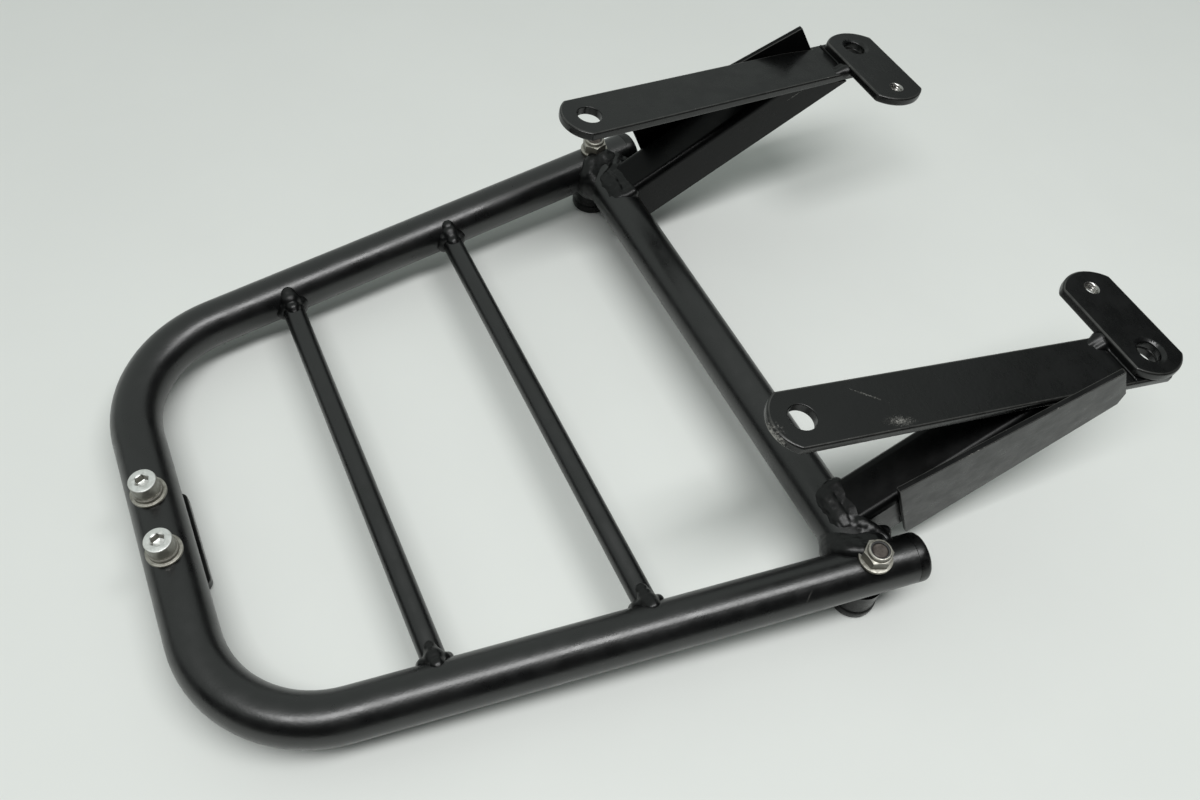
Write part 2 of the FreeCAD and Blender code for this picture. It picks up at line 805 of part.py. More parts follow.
nut_seat = cylinder(
    "nut_seat",
    "nut_ring_diameter / 2",
    "nut_height",
    NUT + " * " + spot("0", "0", "nut_height - nut_ring_height"),
)
lock_nut = cut("lock_nut", fuse("nut_solid", nut_hexagon, nut_collar), nut_bore, nut_seat)
sub_part(together("lock_nut_pair", lock_nut, mirrored("lock_nut_other", lock_nut)), "lock_nuts")
nylon = ring(
    "nylon",
    "nut_ring_diameter / 2",
    "screw_diameter / 2",
    "nut_ring_height - nut_ring_lip",
    NUT + " * " + spot("0", "0", "nut_height - nut_ring_height"),
)
sub_part(together("nylon_pair", nylon, mirrored("nylon_other", nylon)), "nut_inserts")

# Weld beads. Around each rod's end: a collar that narrows on to the rod.
rod_beads = []
for place, back in (("rear", "rear_rod_back"), ("front", "front_rod_back")):
    reach = f"(arm_spacing_half - tan(arm_splay) * {back})"
    start = FRAME + " * " + spot(f"-{back}", reach, "0", turn("x", "90"))
    collar = cylinder(f"{place}_collar", "rod_diameter / 2 + rod_weld", "tube_diameter / 2", start)
    slope = make(
        "Part::Cone",
        f"{place}_slope",
        start + " * " + spot("0", "0", "tube_diameter / 2"),
        Radius1="rod_diameter / 2 + rod_weld",
        Radius2="rod_diameter / 2",
        Height="rod_weld",
    )
    rod = crossbar(f"{place}_rod_core", "rod_diameter / 2", back)
    whole = fuse(f"{place}_bead_solid", collar, slope)
    bead = cut(f"{place}_bead", whole, rod, *arms(f"{place}_bead_arms", OUTER))
    rod_beads.extend([bead, mirrored(f"{place}_bead_other", bead)])
sub_part(together("rod_bead_set", *rod_beads), "rod_welds")

# Where the cross tube meets the arms: a band along the joint, clear of the foot and its washer.
tube_band = common(
    "tube_band",
    crossbar("band_cross", "tube_diameter / 2 + tube_weld", "0", "tube_weld_trim"),
    fuse("band_arms", *arms("band_arm", "tube_diameter / 2 + tube_weld")),
)
foot_rooms = []
for side, sign in (("left", ""), ("right", "-")):
    below = FRAME + " * " + spot("0", f"{sign}arm_spacing_half", "-2 * tube_diameter")
    foot_rooms.append(cylinder(f"{side}_foot_room", "foot_diameter / 2", "2 * tube_diameter", below))
tube_bead = cut("tube_bead", tube_band, cross_solid, *arms("bead_arms", OUTER), *foot_rooms)
sub_part(tube_bead, "cross_tube_welds")

# Along the strut's lower end, on the cross tube.
strut_bead_bar = cylinder(
    "strut_bead_bar",
    "strut_weld_radius",
    "web_width - weld_margin",
    STRUT + " * " + spot("strut_start", "weld_margin / 2", "-sheet_thickness / 2", turn("x", "-90")),
)
strut_bead = cut("strut_bead", strut_bead_bar, strut, cross_solid)
sub_part(together("strut_bead_pair", strut_bead, mirrored("strut_bead_other", strut_bead)), "strut_welds")

# Along the end plate's rear edge, on the strap.
plate_bead_middle = "(end_plate_aside / cos(strap_yaw) - end_plate_depth / 2 * tan(strap_yaw))"
plate_bead_start = f"{plate_bead_middle} - strap_width / 2 + weld_margin"
plate_bead_bar = cylinder(
    "plate_bead_bar",
    "end_plate_weld_radius",
    "strap_width - 2 * weld_margin",
    END_PLATE + " * " + spot("-end_plate_depth / 2", plate_bead_start, "0", turn("x", "-90")),
)
plate_bead = cut("plate_bead", plate_bead_bar, strap, end_plate)
sub_part(together("plate_bead_pair", plate_bead, mirrored("plate_bead_other", plate_bead)), "end_plate_welds")

DOCUMENT.recompute()


def check(items):
    """Stop before anything is written if an object failed or a sub-part is not a sound solid."""
    for item in items:
        if "Invalid" in item.State or "Error" in item.State:
            raise RuntimeError(f"{item.Name} failed: {item.State}")
    for item in SUB_PARTS:
        if item.Shape.isNull() or not item.Shape.isValid():
            raise RuntimeError(f"{item.Label} is not a valid shape")
        if not item.Shape.Solids:
            raise RuntimeError(f"{item.Label} has no solid")


check(DOCUMENT.Objects)
os.makedirs("parts", exist_ok=True)
for item in SUB_PARTS:
    item.Shape.exportStep(f"parts/{item.Label}.step")
    print(item.Label, len(item.Shape.Solids), round(item.Shape.Volume, 1))
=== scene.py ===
"""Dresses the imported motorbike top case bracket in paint, welds and fasteners, in a plain studio."""

import json
import logging
import math
from collections.abc import Callable, Sequence
from dataclasses import dataclass, field
from enum import Enum
from functools import partial
from typing import Any

import bmesh
import bpy
from mathutils import Matrix, Vector, noise

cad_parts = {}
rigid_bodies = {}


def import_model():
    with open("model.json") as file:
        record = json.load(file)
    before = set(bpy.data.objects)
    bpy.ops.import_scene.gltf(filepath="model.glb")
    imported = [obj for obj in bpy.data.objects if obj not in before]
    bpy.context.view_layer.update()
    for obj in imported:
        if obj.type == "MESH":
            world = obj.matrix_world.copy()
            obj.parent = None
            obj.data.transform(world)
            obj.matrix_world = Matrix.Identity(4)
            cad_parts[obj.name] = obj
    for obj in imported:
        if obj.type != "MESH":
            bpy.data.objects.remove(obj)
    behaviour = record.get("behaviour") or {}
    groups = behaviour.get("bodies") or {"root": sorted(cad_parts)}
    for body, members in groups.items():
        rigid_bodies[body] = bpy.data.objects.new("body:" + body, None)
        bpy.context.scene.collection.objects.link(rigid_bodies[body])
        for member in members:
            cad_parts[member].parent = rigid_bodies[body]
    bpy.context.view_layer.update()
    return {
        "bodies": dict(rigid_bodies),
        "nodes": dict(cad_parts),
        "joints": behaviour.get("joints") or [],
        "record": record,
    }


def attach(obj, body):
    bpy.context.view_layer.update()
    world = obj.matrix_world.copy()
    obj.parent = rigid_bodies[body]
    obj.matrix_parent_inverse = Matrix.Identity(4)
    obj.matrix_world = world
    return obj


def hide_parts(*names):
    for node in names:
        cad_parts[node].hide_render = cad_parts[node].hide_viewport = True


LOG = logging.getLogger("top_case_bracket")
ROOT = "root"
MM = 0.001
FULL_TURN = 2.0 * math.pi
EDGE_MARK = "edge"
BEAD_SIZE = "bead"
TURN = "turn"
ALPHA = 1.0
SHARP_FOLD = math.radians(28.0)
JOIN_REACH = 1e-7
ROUND_STEPS = 96
FINE_STEPS = 144
HEX_SLOPE = math.tan(math.radians(28.0))
HEX_SOFT = 0.02 * MM
WASHER_EDGE = 0.28 * MM
WASHER_ROUND = 0.08 * MM

Material = bpy.types.Material
Mesh = bpy.types.Mesh
Piece = bpy.types.Object
Span = tuple[float, float]
Point = tuple[float, float, float]
Ring = Callable[[float], Span]
Rows = Sequence[Span]
Sized = tuple[Vector, float]


class Side(Enum):
    """The two sides of the rack, with the sign of their Y."""

    LEFT = 1.0
    RIGHT = -1.0

    @property
    def word(self) -> str:
        """The side's name as the CAD nodes spell it."""
        return self.name.lower()


class Slot(Enum):
    """The record's material slots."""

    PAINT = "black_paint"
    ZINC = "zinc"
    STEEL = "dull_steel"
    PLASTIC = "black_plastic"
    RUBBER = "black_rubber"
    NYLON = "nylon"


@dataclass(frozen=True)
class RackPlan:
    """The CAD sizes that the dressing needs, in metres and radians."""

    cross_forward: float = 0.0649
    cross_height: float = 0.032
    tube_radius: float = 0.0125
    rear_bar_back: float = 0.3053
    arm_spacing: float = 0.1576
    arm_splay: float = math.radians(8.42)
    arm_overhang: float = 0.022
    rod_radius: float = 0.006
    rod_backs: Span = (0.210, 0.109)
    strap_hole: Point = (0.0339, 0.1087, 0.1191)
    strap_yaw: float = math.radians(6.6)
    strap_pitch: float = math.radians(8.3)
    strap_width: float = 0.032
    end_plate_along: float = 0.2022
    end_plate_aside: float = 0.0193
    end_plate_depth: float = 0.036
    end_plate_thickness: float = 0.005
    thread_aside: float = 0.0239
    clear_aside: float = 0.0207
    strut_pitch: float = math.radians(26.6)
    strut_inside: float = 0.113
    strut_rise: float = 0.0123
    web_width: float = 0.026
    screw_spacing: float = 0.017
    washer_thickness: float = 0.0016
    spring_thickness: float = 0.0022
    foot_height: float = 0.0195

    def arm_line(self, side: Side, forward: float) -> Vector:
        """The point of an arm's axis at one distance ahead of the cross tube.

        Args:
            side: which arm.
            forward: distance along X from the cross tube's axis.

        Returns:
            The point in the row frame.
        """
        aside = self.arm_spacing + math.tan(self.arm_splay) * forward
        return Vector((self.cross_forward + forward, side.value * aside, self.cross_height))

    def arm_wall(self, side: Side, x: float, z: float, radius: float) -> float:
        """Where a line along Y meets the inner wall of an arm.

        Args:
            side: which arm.
            x: the line's X in the row frame.
            z: the line's Z in the row frame.
            radius: the arm's radius, or a larger one to stand off from it.

        Returns:
            The meeting point's Y.
        """
        drop = z - self.cross_height
        deep = math.sqrt(max(radius * radius - drop * drop, 0.0))
        lateral = (x - self.cross_forward) * math.sin(self.arm_splay) - deep
        return side.value * (self.arm_spacing + lateral / math.cos(self.arm_splay))

    def strap_frame(self, side: Side) -> Matrix:
        """The strap's frame: origin at its hole on the top face, X along the strap.

        Args:
            side: which strap.

        Returns:
            The frame in the row frame.
        """
        x, y, z = self.strap_hole
        yaw = Matrix.Rotation(side.value * self.strap_yaw, 4, "Z")
        turn = yaw @ Matrix.Rotation(self.strap_pitch, 4, "Y")
        return Matrix.Translation((x, side.value * y, z)) @ turn

    def end_plate_frame(self, side: Side) -> Matrix:
        """The end plate's frame: origin under its middle, Y across the rack.

        Args:
            side: which end plate.

        Returns:
            The frame in the row frame.
        """
        shift = Matrix.Translation((self.end_plate_along, -side.value * self.end_plate_aside, 0.0))
        return self.strap_frame(side) @ shift @ Matrix.Rotation(-side.value * self.strap_yaw, 4, "Z")

    def strut_frame(self, side: Side) -> Matrix:
        """The strut's frame: origin over the cross tube at the web's inner edge, X up the web.

        Args:
            side: which strut.

        Returns:
            The frame in the row frame.
        """
        place = (self.cross_forward, side.value * self.strut_inside, self.cross_height + self.strut_rise)
        return Matrix.Translation(place) @ Matrix.Rotation(-self.strut_pitch, 4, "Y")


PLAN = RackPlan()


@dataclass(frozen=True)
class Mottle:
    """An uneven pattern: a noise, and the part of its range that it runs through."""

    cells: float
    octaves: float = 3.0
    finer: float = 0.5
    low: float = 0.3
    high: float = 0.7


@dataclass(frozen=True)
class Grain:
    """A fine relief: its cells in a metre and its depth in metres."""

    cells: float
    depth: float
    octaves: float = 2.0
    strength: float = 0.6


def solid(colour: Point, share: float = 1.0) -> tuple[float, ...]:
    """A colour, lighter or darker by a share, with its alpha."""
    return (*(channel * share for channel in colour), ALPHA)


class NodeBench:
    """A node tree, with short ways to add what the finishes and the pieces use."""

    mix_inputs: tuple[int, int, int] = (0, 6, 7)
    mix_output: int = 2

    def __init__(self, tree: bpy.types.NodeTree) -> None:
        """Empty the tree.

        Args:
            tree: the tree to fill.
        """
        self.tree = tree
        self.tree.nodes.clear()

    def node(self, kind: str, inputs: dict[Any, Any] | None = None, **settings: Any) -> bpy.types.Node:
        """Add a node.

        Args:
            kind: the node's type.
            inputs: socket name or index, with a value or a socket to link.
            settings: the node's own properties.

        Returns:
            The node.
        """
        made = self.tree.nodes.new(kind)
        for key, value in settings.items():
            setattr(made, key, value)
        for key, value in (inputs or {}).items():
            self.feed(made.inputs[key], value)
        return made

    def feed(self, socket: bpy.types.NodeSocket, value: Any) -> None:
        """Link a socket to another one, or give it a value.

        Args:
            socket: the input.
            value: an output socket, a number or a tuple.
        """
        if isinstance(value, bpy.types.NodeSocket):
            self.tree.links.new(value, socket)
        else:
            socket.default_value = value

    def combine(self, kind: str, first: Any, second: Any = 0.0, clamp: bool = False) -> Any:
        """Combine two values.

        Args:
            kind: the operation.
            first: a socket or number.
            second: a socket or number.
            clamp: hold the result between 0 and 1.

        Returns:
            The output socket.
        """
        inputs = {0: first, 1: second}
        return self.node("ShaderNodeMath", inputs, operation=kind, use_clamp=clamp).outputs[0]

    def span(self, value: Any, low: float, high: float, result: Span = (0.0, 1.0)) -> Any:
        """Map one range of a value smoothly on to another.

        Args:
            value: the socket to map.
            low: start of its range.
            high: end of its range.
            result: what the start and the end become.

        Returns:
            The output socket.
        """
        inputs = {"Value": value, "From Min": low, "From Max": high}
        inputs["To Min"], inputs["To Max"] = result
        return self.node("ShaderNodeMapRange", inputs, interpolation_type="SMOOTHSTEP").outputs["Result"]

    def blend(self, share: Any, first: Any, second: Any) -> Any:
        """Mix two colours.

        Args:
            share: how much of the second one.
            first: colour or socket.
            second: colour or socket.

        Returns:
            The output socket.
        """
        inputs = dict(zip(self.mix_inputs, (share, first, second)))
        return self.node("ShaderNodeMix", inputs, data_type="RGBA").outputs[self.mix_output]


class ShaderBench(NodeBench):
    """A material's node tree round one shader."""

    def __init__(self, name: str) -> None:
        """Start a material.

        Args:
            name: the material's name.
        """
        self.material = bpy.data.materials.new(name)
        self.material.use_nodes = True
        super().__init__(self.material.node_tree)
        self.surface = self.node("ShaderNodeBsdfPrincipled")
        self.node("ShaderNodeOutputMaterial", {"Surface": self.surface.outputs["BSDF"]})
        self.place = self.node("ShaderNodeTexCoord").outputs["Object"]

    def noise(self, cells: float, octaves: float, finer: float = 0.5) -> Any:
        """A noise value from 0 to 1.

        Args:
            cells: cells in a metre.
            octaves: how many finer layers it has.
            finer: weight of the finer layers.

        Returns:
            The output socket.
        """
        inputs = {"Vector": self.place, "Scale": cells, "Detail": octaves, "Roughness": finer}
        return self.node("ShaderNodeTexNoise", inputs).outputs["Fac"]

    def mottle(self, pattern: Mottle, result: Span = (0.0, 1.0)) -> Any:
        """Run through a pattern.

        Args:
            pattern: the uneven pattern.
            result: the values at the start and the end of its range.

        Returns:
            The output socket.
        """
        value = self.noise(pattern.cells, pattern.octaves, pattern.finer)
        return self.span(value, pattern.low, pattern.high, result)

    def relief(self, grain: Grain, below: Any = None) -> Any:
        """Raise a grain on the surface.

        Args:
            grain: the grain.
            below: the normal of a coarser relief under it.

        Returns:
            The normal socket.
        """
        height = self.noise(grain.cells, grain.octaves)
        inputs = {"Height": height, "Distance": grain.depth, "Strength": grain.strength}
        if below is not None:
            inputs["Normal"] = below
        return self.node("ShaderNodeBump", inputs).outputs["Normal"]

    def patch(self, centre: Point, turn: Point, half: Point) -> Any:
        """How far inside an ellipsoid a point is: 1 in its middle, 0 outside.

        Args:
            centre: middle of the patch in the row frame.
            turn: its Euler angles.
            half: its three half sizes.

        Returns:
            The output socket.
        """
        inputs = {"Vector": self.place, "Location": centre, "Rotation": turn, "Scale": half}
        local = self.node("ShaderNodeMapping", inputs, vector_type="TEXTURE").outputs["Vector"]
        reach = self.node("ShaderNodeVectorMath", {0: local}, operation="LENGTH").outputs["Value"]
        return self.combine("SUBTRACT", 1.0, reach, clamp=True)

    def coated(self, inputs: dict[str, Any]) -> Material:
        """Give the shader its inputs.

        Args:
            inputs: the shader's socket names, each with a value or a socket to link.

        Returns:
            The finished material.
        """
        for name, value in inputs.items():
            self.feed(self.surface.inputs[name], value)
        return self.material


@dataclass(frozen=True)
class Scuff:
    """A scuffed or scratched place in the paint."""

    centre: Point
    half: Point
    turn: Point = (0.0, 0.0, 0.0)
    cells: float = 900.0
    threshold: float = 0.5
    strength: float = 0.5
    on_edges: bool = False
    octaves: float = 4.0
    finer: float = 0.7
    spread: float = 0.3
    ramp: Span = (0.2, 0.42)
    rim: float = 0.4
    matt: float = 0.3

    def mark(self, bench: ShaderBench, edge: Any) -> Any:
        """Where the paint is rubbed: specks that lie closer together towards the middle.

        Args:
            bench: the paint's bench.
            edge: the socket that marks the edges.

        Returns:
            The output socket.
        """
        inside = bench.patch(self.centre, self.turn, self.half)
        specks = bench.noise(self.cells, self.octaves, self.finer)
        dense = bench.combine("ADD", specks, bench.combine("MULTIPLY", inside, self.spread))
        scratch = bench.span(dense, self.threshold + self.ramp[0], self.threshold + self.ramp[1])
        mark = bench.combine("MULTIPLY", bench.span(inside, 0.0, self.rim), scratch, clamp=True)
        mark = bench.combine("MULTIPLY", mark, self.strength, clamp=True)
        return bench.combine("MULTIPLY", mark, edge, clamp=True) if self.on_edges else mark


TUBE_SCUFFS = (
    Scuff((0.0262, -0.160, 0.0415), (0.005, 0.0005, 0.006), (0.0, 0.0, 0.664), 1800.0, 0.36, 0.1),
    Scuff((-0.2411, -0.027, 0.0445), (0.003, 0.002, 0.003), (0.0, 0.0, 0.0), 2200.0, 0.5, 0.4),
)
STRAP_SCUFFS = (
    Scuff((0.0711, -0.1077, 0.1138), (0.0135, 0.0008, 0.004), (0.0, 0.0, -0.739), 1400.0, 0.42, 0.34),
    Scuff((0.0779, -0.1252, 0.1125), (0.0125, 0.0048, 0.004), (0.0, 0.0, -0.31), 1700.0, 0.45, 0.5),
    Scuff((0.0182, -0.1105, 0.1176), (0.007, 0.0115, 0.0044), (0.0, 0.0, 0.0), 700.0, 0.35, 0.95),
    Scuff((0.2368, -0.1316, 0.0944), (0.017, 0.017, 0.004), (0.0, 0.0, 0.0), 420.0, 0.6, 0.2),
)
SHEET_SCUFFS = (
    Scuff((0.117, -0.1428, 0.0866), (0.014, 0.004, 0.004), (0.0, -0.3, 0.0), 900.0, 0.5, 0.9, True),
    Scuff((0.178, 0.1135, 0.0872), (0.009, 0.002, 0.0009), (0.0, -0.45, 0.0), 1500.0, 0.42, 0.8),
)


@dataclass(frozen=True)
class BlackPaint:
    """Satin black paint over steel: uneven gloss, orange peel, dust, scuffs, worn edges, and a lighter
    band on broken edges that is partly dust and partly a painted highlight.
    """

    name: str
    colour: Point = (0.0019, 0.0021, 0.0021)
    tones: Span = (0.75, 1.35)
    dust: Point = (0.16, 0.16, 0.15)
    bare: Point = (0.42, 0.41, 0.38)
    gloss: Span = (0.27, 0.36)
    specular: float = 0.62
    peel: Grain = Grain(900.0, 0.00007)
    grain: Grain = Grain(2600.0, 0.000022)
    dust_share: float = 0.05
    # Lightens the broken edges towards the dust colour: partly dust, partly a painted highlight.
    edge_dust: float = 0.0
    edge_least: float = 0.5
    chip_metal: float = 0.8
    scuffs: tuple[Scuff, ...] = ()
    cloud: Mottle = Mottle(28.0, 4.0, 0.55, 0.35, 0.65)
    speck: Mottle = Mottle(2600.0, 2.0, 0.5, 0.66, 0.78)
    drift: Mottle = Mottle(60.0, 5.0, 0.6, 0.42, 0.75)
    gloss_cloud: Mottle = Mottle(90.0, 4.0, 0.6)
    rub: Mottle = Mottle(150.0, 3.0, 0.6, 0.3, 0.6)
    chip: Mottle = Mottle(420.0, 5.0, 0.7, 0.65, 0.73)

    def build(self) -> Material:
        """Make the material.

        Returns:
            The material.
        """
        bench = ShaderBench(self.name)
        dark, light = (solid(self.colour, share) for share in self.tones)
        tone = bench.blend(bench.mottle(self.cloud), dark, light)
        drifted = bench.combine("MULTIPLY", bench.mottle(self.speck), bench.mottle(self.drift))
        dusty = bench.combine("MULTIPLY", drifted, self.dust_share, clamp=True)
        tone = bench.blend(dusty, tone, solid(self.dust))
        rough = bench.mottle(self.gloss_cloud, self.gloss)
        metal: Any = 0.0
        # Broken edges are lightened towards the dust colour, most where they face up: partly dust and
        # wear, partly a painted highlight.
        edge_dust_and_sheen_mark = bench.mottle(self.rub, (self.edge_dust * self.edge_least, self.edge_dust))
        edge = bench.node("ShaderNodeAttribute", attribute_name=EDGE_MARK).outputs["Fac"]
        tone = bench.blend(bench.combine("MULTIPLY", edge, edge_dust_and_sheen_mark), tone, solid(self.dust))
        for scuff in self.scuffs:
            mark = scuff.mark(bench, edge)
            tone = bench.blend(mark, tone, solid(self.bare))
            rough = bench.combine("ADD", rough, bench.combine("MULTIPLY", mark, scuff.matt))
        if self.edge_dust > 0.0:
            worn = bench.combine("MULTIPLY", edge, bench.mottle(self.chip), clamp=True)
            tone = bench.blend(worn, tone, solid(self.bare))
            metal = bench.combine("MULTIPLY", worn, self.chip_metal)
        inputs = {"Base Color": tone, "Roughness": rough, "Metallic": metal}
        inputs["Normal"] = bench.relief(self.grain, bench.relief(self.peel))
        inputs["Specular IOR Level"] = self.specular
        return bench.coated(inputs)


@dataclass(frozen=True)
class PlatedMetal:
    """Zinc or bare steel with cloudy tone, a fine grain and soiling, and painted shade that darkens its
    upright sides.
    """

    name: str
    colour: Point
    dirt: Point
    dirt_share: float = 0.5
    gloss: Span = (0.3, 0.5)
    metallic: float = 0.55
    grain: Grain = Grain(2400.0, 0.00002, 3.0, 0.5)
    # Share of painted shade on upright sides.
    side_share: float = 0.0
    side_span: Span = (0.25, 0.75)
    cloud: Mottle = Mottle(350.0, 5.0, 0.6, 0.4, 0.72)
    pits: Mottle = Mottle(1900.0, 3.0, 0.5, 0.6, 0.75)
    gloss_cloud: Mottle = Mottle(800.0)

    def build(self) -> Material:
        """Make the material.

        Returns:
            The material.
        """
        bench = ShaderBench(self.name)
        dirt_and_shade_share = bench.combine("MAXIMUM", bench.mottle(self.cloud), bench.mottle(self.pits))
        dirt_and_shade_share = bench.combine("MULTIPLY", dirt_and_shade_share, self.dirt_share, clamp=True)
        # Upright sides are darkened towards the soiling colour: painted shade, as if lit from above.
        normal = bench.node("ShaderNodeNewGeometry").outputs["Normal"]
        facing = bench.node("ShaderNodeSeparateXYZ", {0: normal}).outputs["Z"]
        upright = bench.span(bench.combine("ABSOLUTE", facing), *self.side_span, (self.side_share, 0.0))
        dirt_and_shade_share = bench.combine("MAXIMUM", dirt_and_shade_share, upright)
        inputs = {"Base Color": bench.blend(dirt_and_shade_share, solid(self.colour), solid(self.dirt))}
        inputs["Roughness"] = bench.mottle(self.gloss_cloud, self.gloss)
        inputs["Metallic"] = self.metallic
        inputs["Normal"] = bench.relief(self.grain)
        return bench.coated(inputs)


@dataclass(frozen=True)
class MouldedBlack:
    """Black plastic or rubber with a fine grain and dusty patches."""

    name: str
    colour: Point = (0.0024, 0.0025, 0.0026)
    dust: Point = (0.12, 0.115, 0.105)
    gloss: Span = (0.28, 0.42)
    dust_share: float = 0.25
    specular: float = 0.5
    grain: Grain = Grain(2600.0, 0.00003, 2.0, 0.5)
    cloud: Mottle = Mottle(240.0, 5.0, 0.65, 0.52, 0.8)
    gloss_cloud: Mottle = Mottle(300.0, 4.0)

    def build(self) -> Material:
        """Make the material.

        Returns:
            The material.
        """
        bench = ShaderBench(self.name)
        dusty = bench.combine("MULTIPLY", bench.mottle(self.cloud), self.dust_share, clamp=True)
        inputs = {"Base Color": bench.blend(dusty, solid(self.colour), solid(self.dust))}
        inputs["Roughness"] = bench.mottle(self.gloss_cloud, self.gloss)
        inputs["Normal"] = bench.relief(self.grain)
        inputs["Specular IOR Level"] = self.specular
        return bench.coated(inputs)


TUBE_PAINT = BlackPaint("tube_paint", specular=0.84, scuffs=TUBE_SCUFFS)
BAR_PAINT = BlackPaint(
    "flat_bar_paint",
    specular=0.52,
    gloss=(0.24, 0.33),
    peel=Grain(420.0, 0.00007),
    grain=Grain(2300.0, 0.00003),
    dust_share=0.09,
    # Broken edges lightened: partly dust, partly a painted highlight.
    edge_dust=0.24,
    scuffs=STRAP_SCUFFS,
)
SHEET_PAINT = BlackPaint(
    "sheet_paint",
    specular=0.18,
    gloss=(0.26, 0.36),
    peel=Grain(380.0, 0.00006),
    grain=Grain(1900.0, 0.00003),
    dust_share=0.1,
    # Broken edges lightened: partly dust, partly a painted highlight.
    edge_dust=0.3,
    scuffs=SHEET_SCUFFS,
)
WELD_PAINT = BlackPaint(
    "weld_paint",
    specular=0.42,
    gloss=(0.29, 0.41),
    peel=Grain(520.0, 0.0001),
    grain=Grain(1800.0, 0.00004),
    dust_share=0.1,
)
# Their upright sides get painted shade.
ZINC_PLATE = PlatedMetal("zinc_plate", (0.72, 0.735, 0.71), (0.14, 0.13, 0.1), 0.3, side_share=0.85)
AGED_ZINC = PlatedMetal("aged_zinc", (0.40, 0.39, 0.345), (0.085, 0.077, 0.058), 0.6, side_share=0.72)
STAINED_BOLT = PlatedMetal(
    "stained_bolt",
    colour=(0.10, 0.085, 0.075),
    dirt=(0.035, 0.028, 0.024),
    dirt_share=0.8,
    gloss=(0.5, 0.75),
    metallic=0.4,
    grain=Grain(2400.0, 0.00006, 3.0, 0.5),
)
BRIGHT_THREAD = PlatedMetal(
    "bright_thread", (0.5, 0.49, 0.47), (0.12, 0.11, 0.1), gloss=(0.2, 0.35), metallic=1.0
)
PLUG_PLASTIC = MouldedBlack("moulded_plastic", gloss=(0.24, 0.36), dust_share=0.12)
FOOT_RUBBER = MouldedBlack("moulded_rubber", gloss=(0.2, 0.38), dust_share=0.1, specular=0.26)
GREY_NYLON = MouldedBlack("grey_nylon", colour=(0.05, 0.05, 0.05), gloss=(0.4, 0.5))


@dataclass
class Finishes:
    """Every finish of the rack, made once."""

    tube: Material = field(default_factory=TUBE_PAINT.build)
    bar: Material = field(default_factory=BAR_PAINT.build)
    sheet: Material = field(default_factory=SHEET_PAINT.build)
    weld: Material = field(default_factory=WELD_PAINT.build)
    zinc: Material = field(default_factory=ZINC_PLATE.build)
    aged: Material = field(default_factory=AGED_ZINC.build)
    stained: Material = field(default_factory=STAINED_BOLT.build)
    bright: Material = field(default_factory=BRIGHT_THREAD.build)
    plastic: Material = field(default_factory=PLUG_PLASTIC.build)
    rubber: Material = field(default_factory=FOOT_RUBBER.build)
    nylon: Material = field(default_factory=GREY_NYLON.build)


def add_object(name: str, mesh: Mesh) -> Piece:
    """Put a mesh in the scene as an object at the origin.

    Args:
        name: the object's name.
        mesh: its mesh.

    Returns:
        The object.
    """
    made = bpy.data.objects.new(name, mesh)
    bpy.context.scene.collection.objects.link(made)
    return made


def bake_modifiers(piece: Piece) -> Piece:
    """Turn a piece's modifiers into a plain mesh and remove them.

    Args:
        piece: the object.

    Returns:
        The same object.
    """
    bpy.context.view_layer.update()
    graph = bpy.context.evaluated_depsgraph_get()
    mesh = bpy.data.meshes.new_from_object(piece.evaluated_get(graph), depsgraph=graph)
    piece.modifiers.clear()
    piece.data = mesh
    return piece


def give_finish(piece: Piece, material: Material) -> None:
    """Make a finish the only one on a piece."""
    piece.data.materials.clear()
    piece.data.materials.append(material)


def adopt(piece: Piece, slot: Slot, *nodes: str) -> None:
    """Fix a finished piece to the rack, in place of the CAD nodes it stands for.

    Args:
        piece: the object.
        slot: the record's slot for its finish, not used.
        nodes: the CAD nodes that it replaces.
    """
    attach(piece, ROOT)
    if nodes:
        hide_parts(*nodes)
    LOG.info("%s: %d faces, for %s", piece.name, len(piece.data.polygons), ", ".join(nodes) or "no node")


def settled(shape: bmesh.types.BMesh, name: str) -> Mesh:
    """Turn a shape into a smooth mesh and let go of it.

    Args:
        shape: the shape.
        name: the mesh's name.

    Returns:
        The mesh.
    """
    for face in shape.faces:
        face.smooth = True
    mesh = bpy.data.meshes.new(name)
    shape.to_mesh(mesh)
    shape.free()
    return mesh


def settled_sharp(shape: bmesh.types.BMesh, name: str) -> Mesh:
    """Turn a closed shape into a mesh with its faces outwards and its folds sharp.

    Args:
        shape: the shape.
        name: the mesh's name.

    Returns:
        The mesh.
    """
    bmesh.ops.recalc_face_normals(shape, faces=shape.faces)
    mesh = settled(shape, name)
    mesh.set_sharp_from_angle(angle=SHARP_FOLD)
    return mesh


def polar(radius: float, angle: float, height: float) -> Point:
    """A point from its radius, angle and height."""
    return (radius * math.cos(angle), radius * math.sin(angle), height)


def join_rows(shape: bmesh.types.BMesh, first: Sequence[Any], second: Sequence[Any]) -> None:
    """Lay faces between two closed rows of points.

    Args:
        shape: the shape they are in.
        first: the points of one row.
        second: the points of the next row.
    """
    for step in range(len(first)):
        after = (step + 1) % len(first)
        shape.faces.new((first[step], first[after], second[after], second[step]))


def ring_loft(rings: Sequence[Ring], steps: int = ROUND_STEPS, closed: bool = False) -> Mesh:
    """A round piece from rings, each a radius and a height at every angle.

    Args:
        rings: the rings in order along the profile.
        steps: points in a ring.
        closed: join the last ring to the first.

    Returns:
        The mesh, with its faces outwards.
    """
    shape = bmesh.new()
    rows = []
    for ring in rings:
        angles = [FULL_TURN * step / steps for step in range(steps)]
        points = [(angle, *ring(angle)) for angle in angles]
        rows.append([shape.verts.new(polar(radius, angle, height)) for angle, radius, height in points])
    following = rows[1:] + rows[:1] if closed else rows[1:]
    for first, second in zip(rows, following):
        join_rows(shape, first, second)
    bmesh.ops.remove_doubles(shape, verts=shape.verts, dist=JOIN_REACH)
    return settled_sharp(shape, "round_piece")


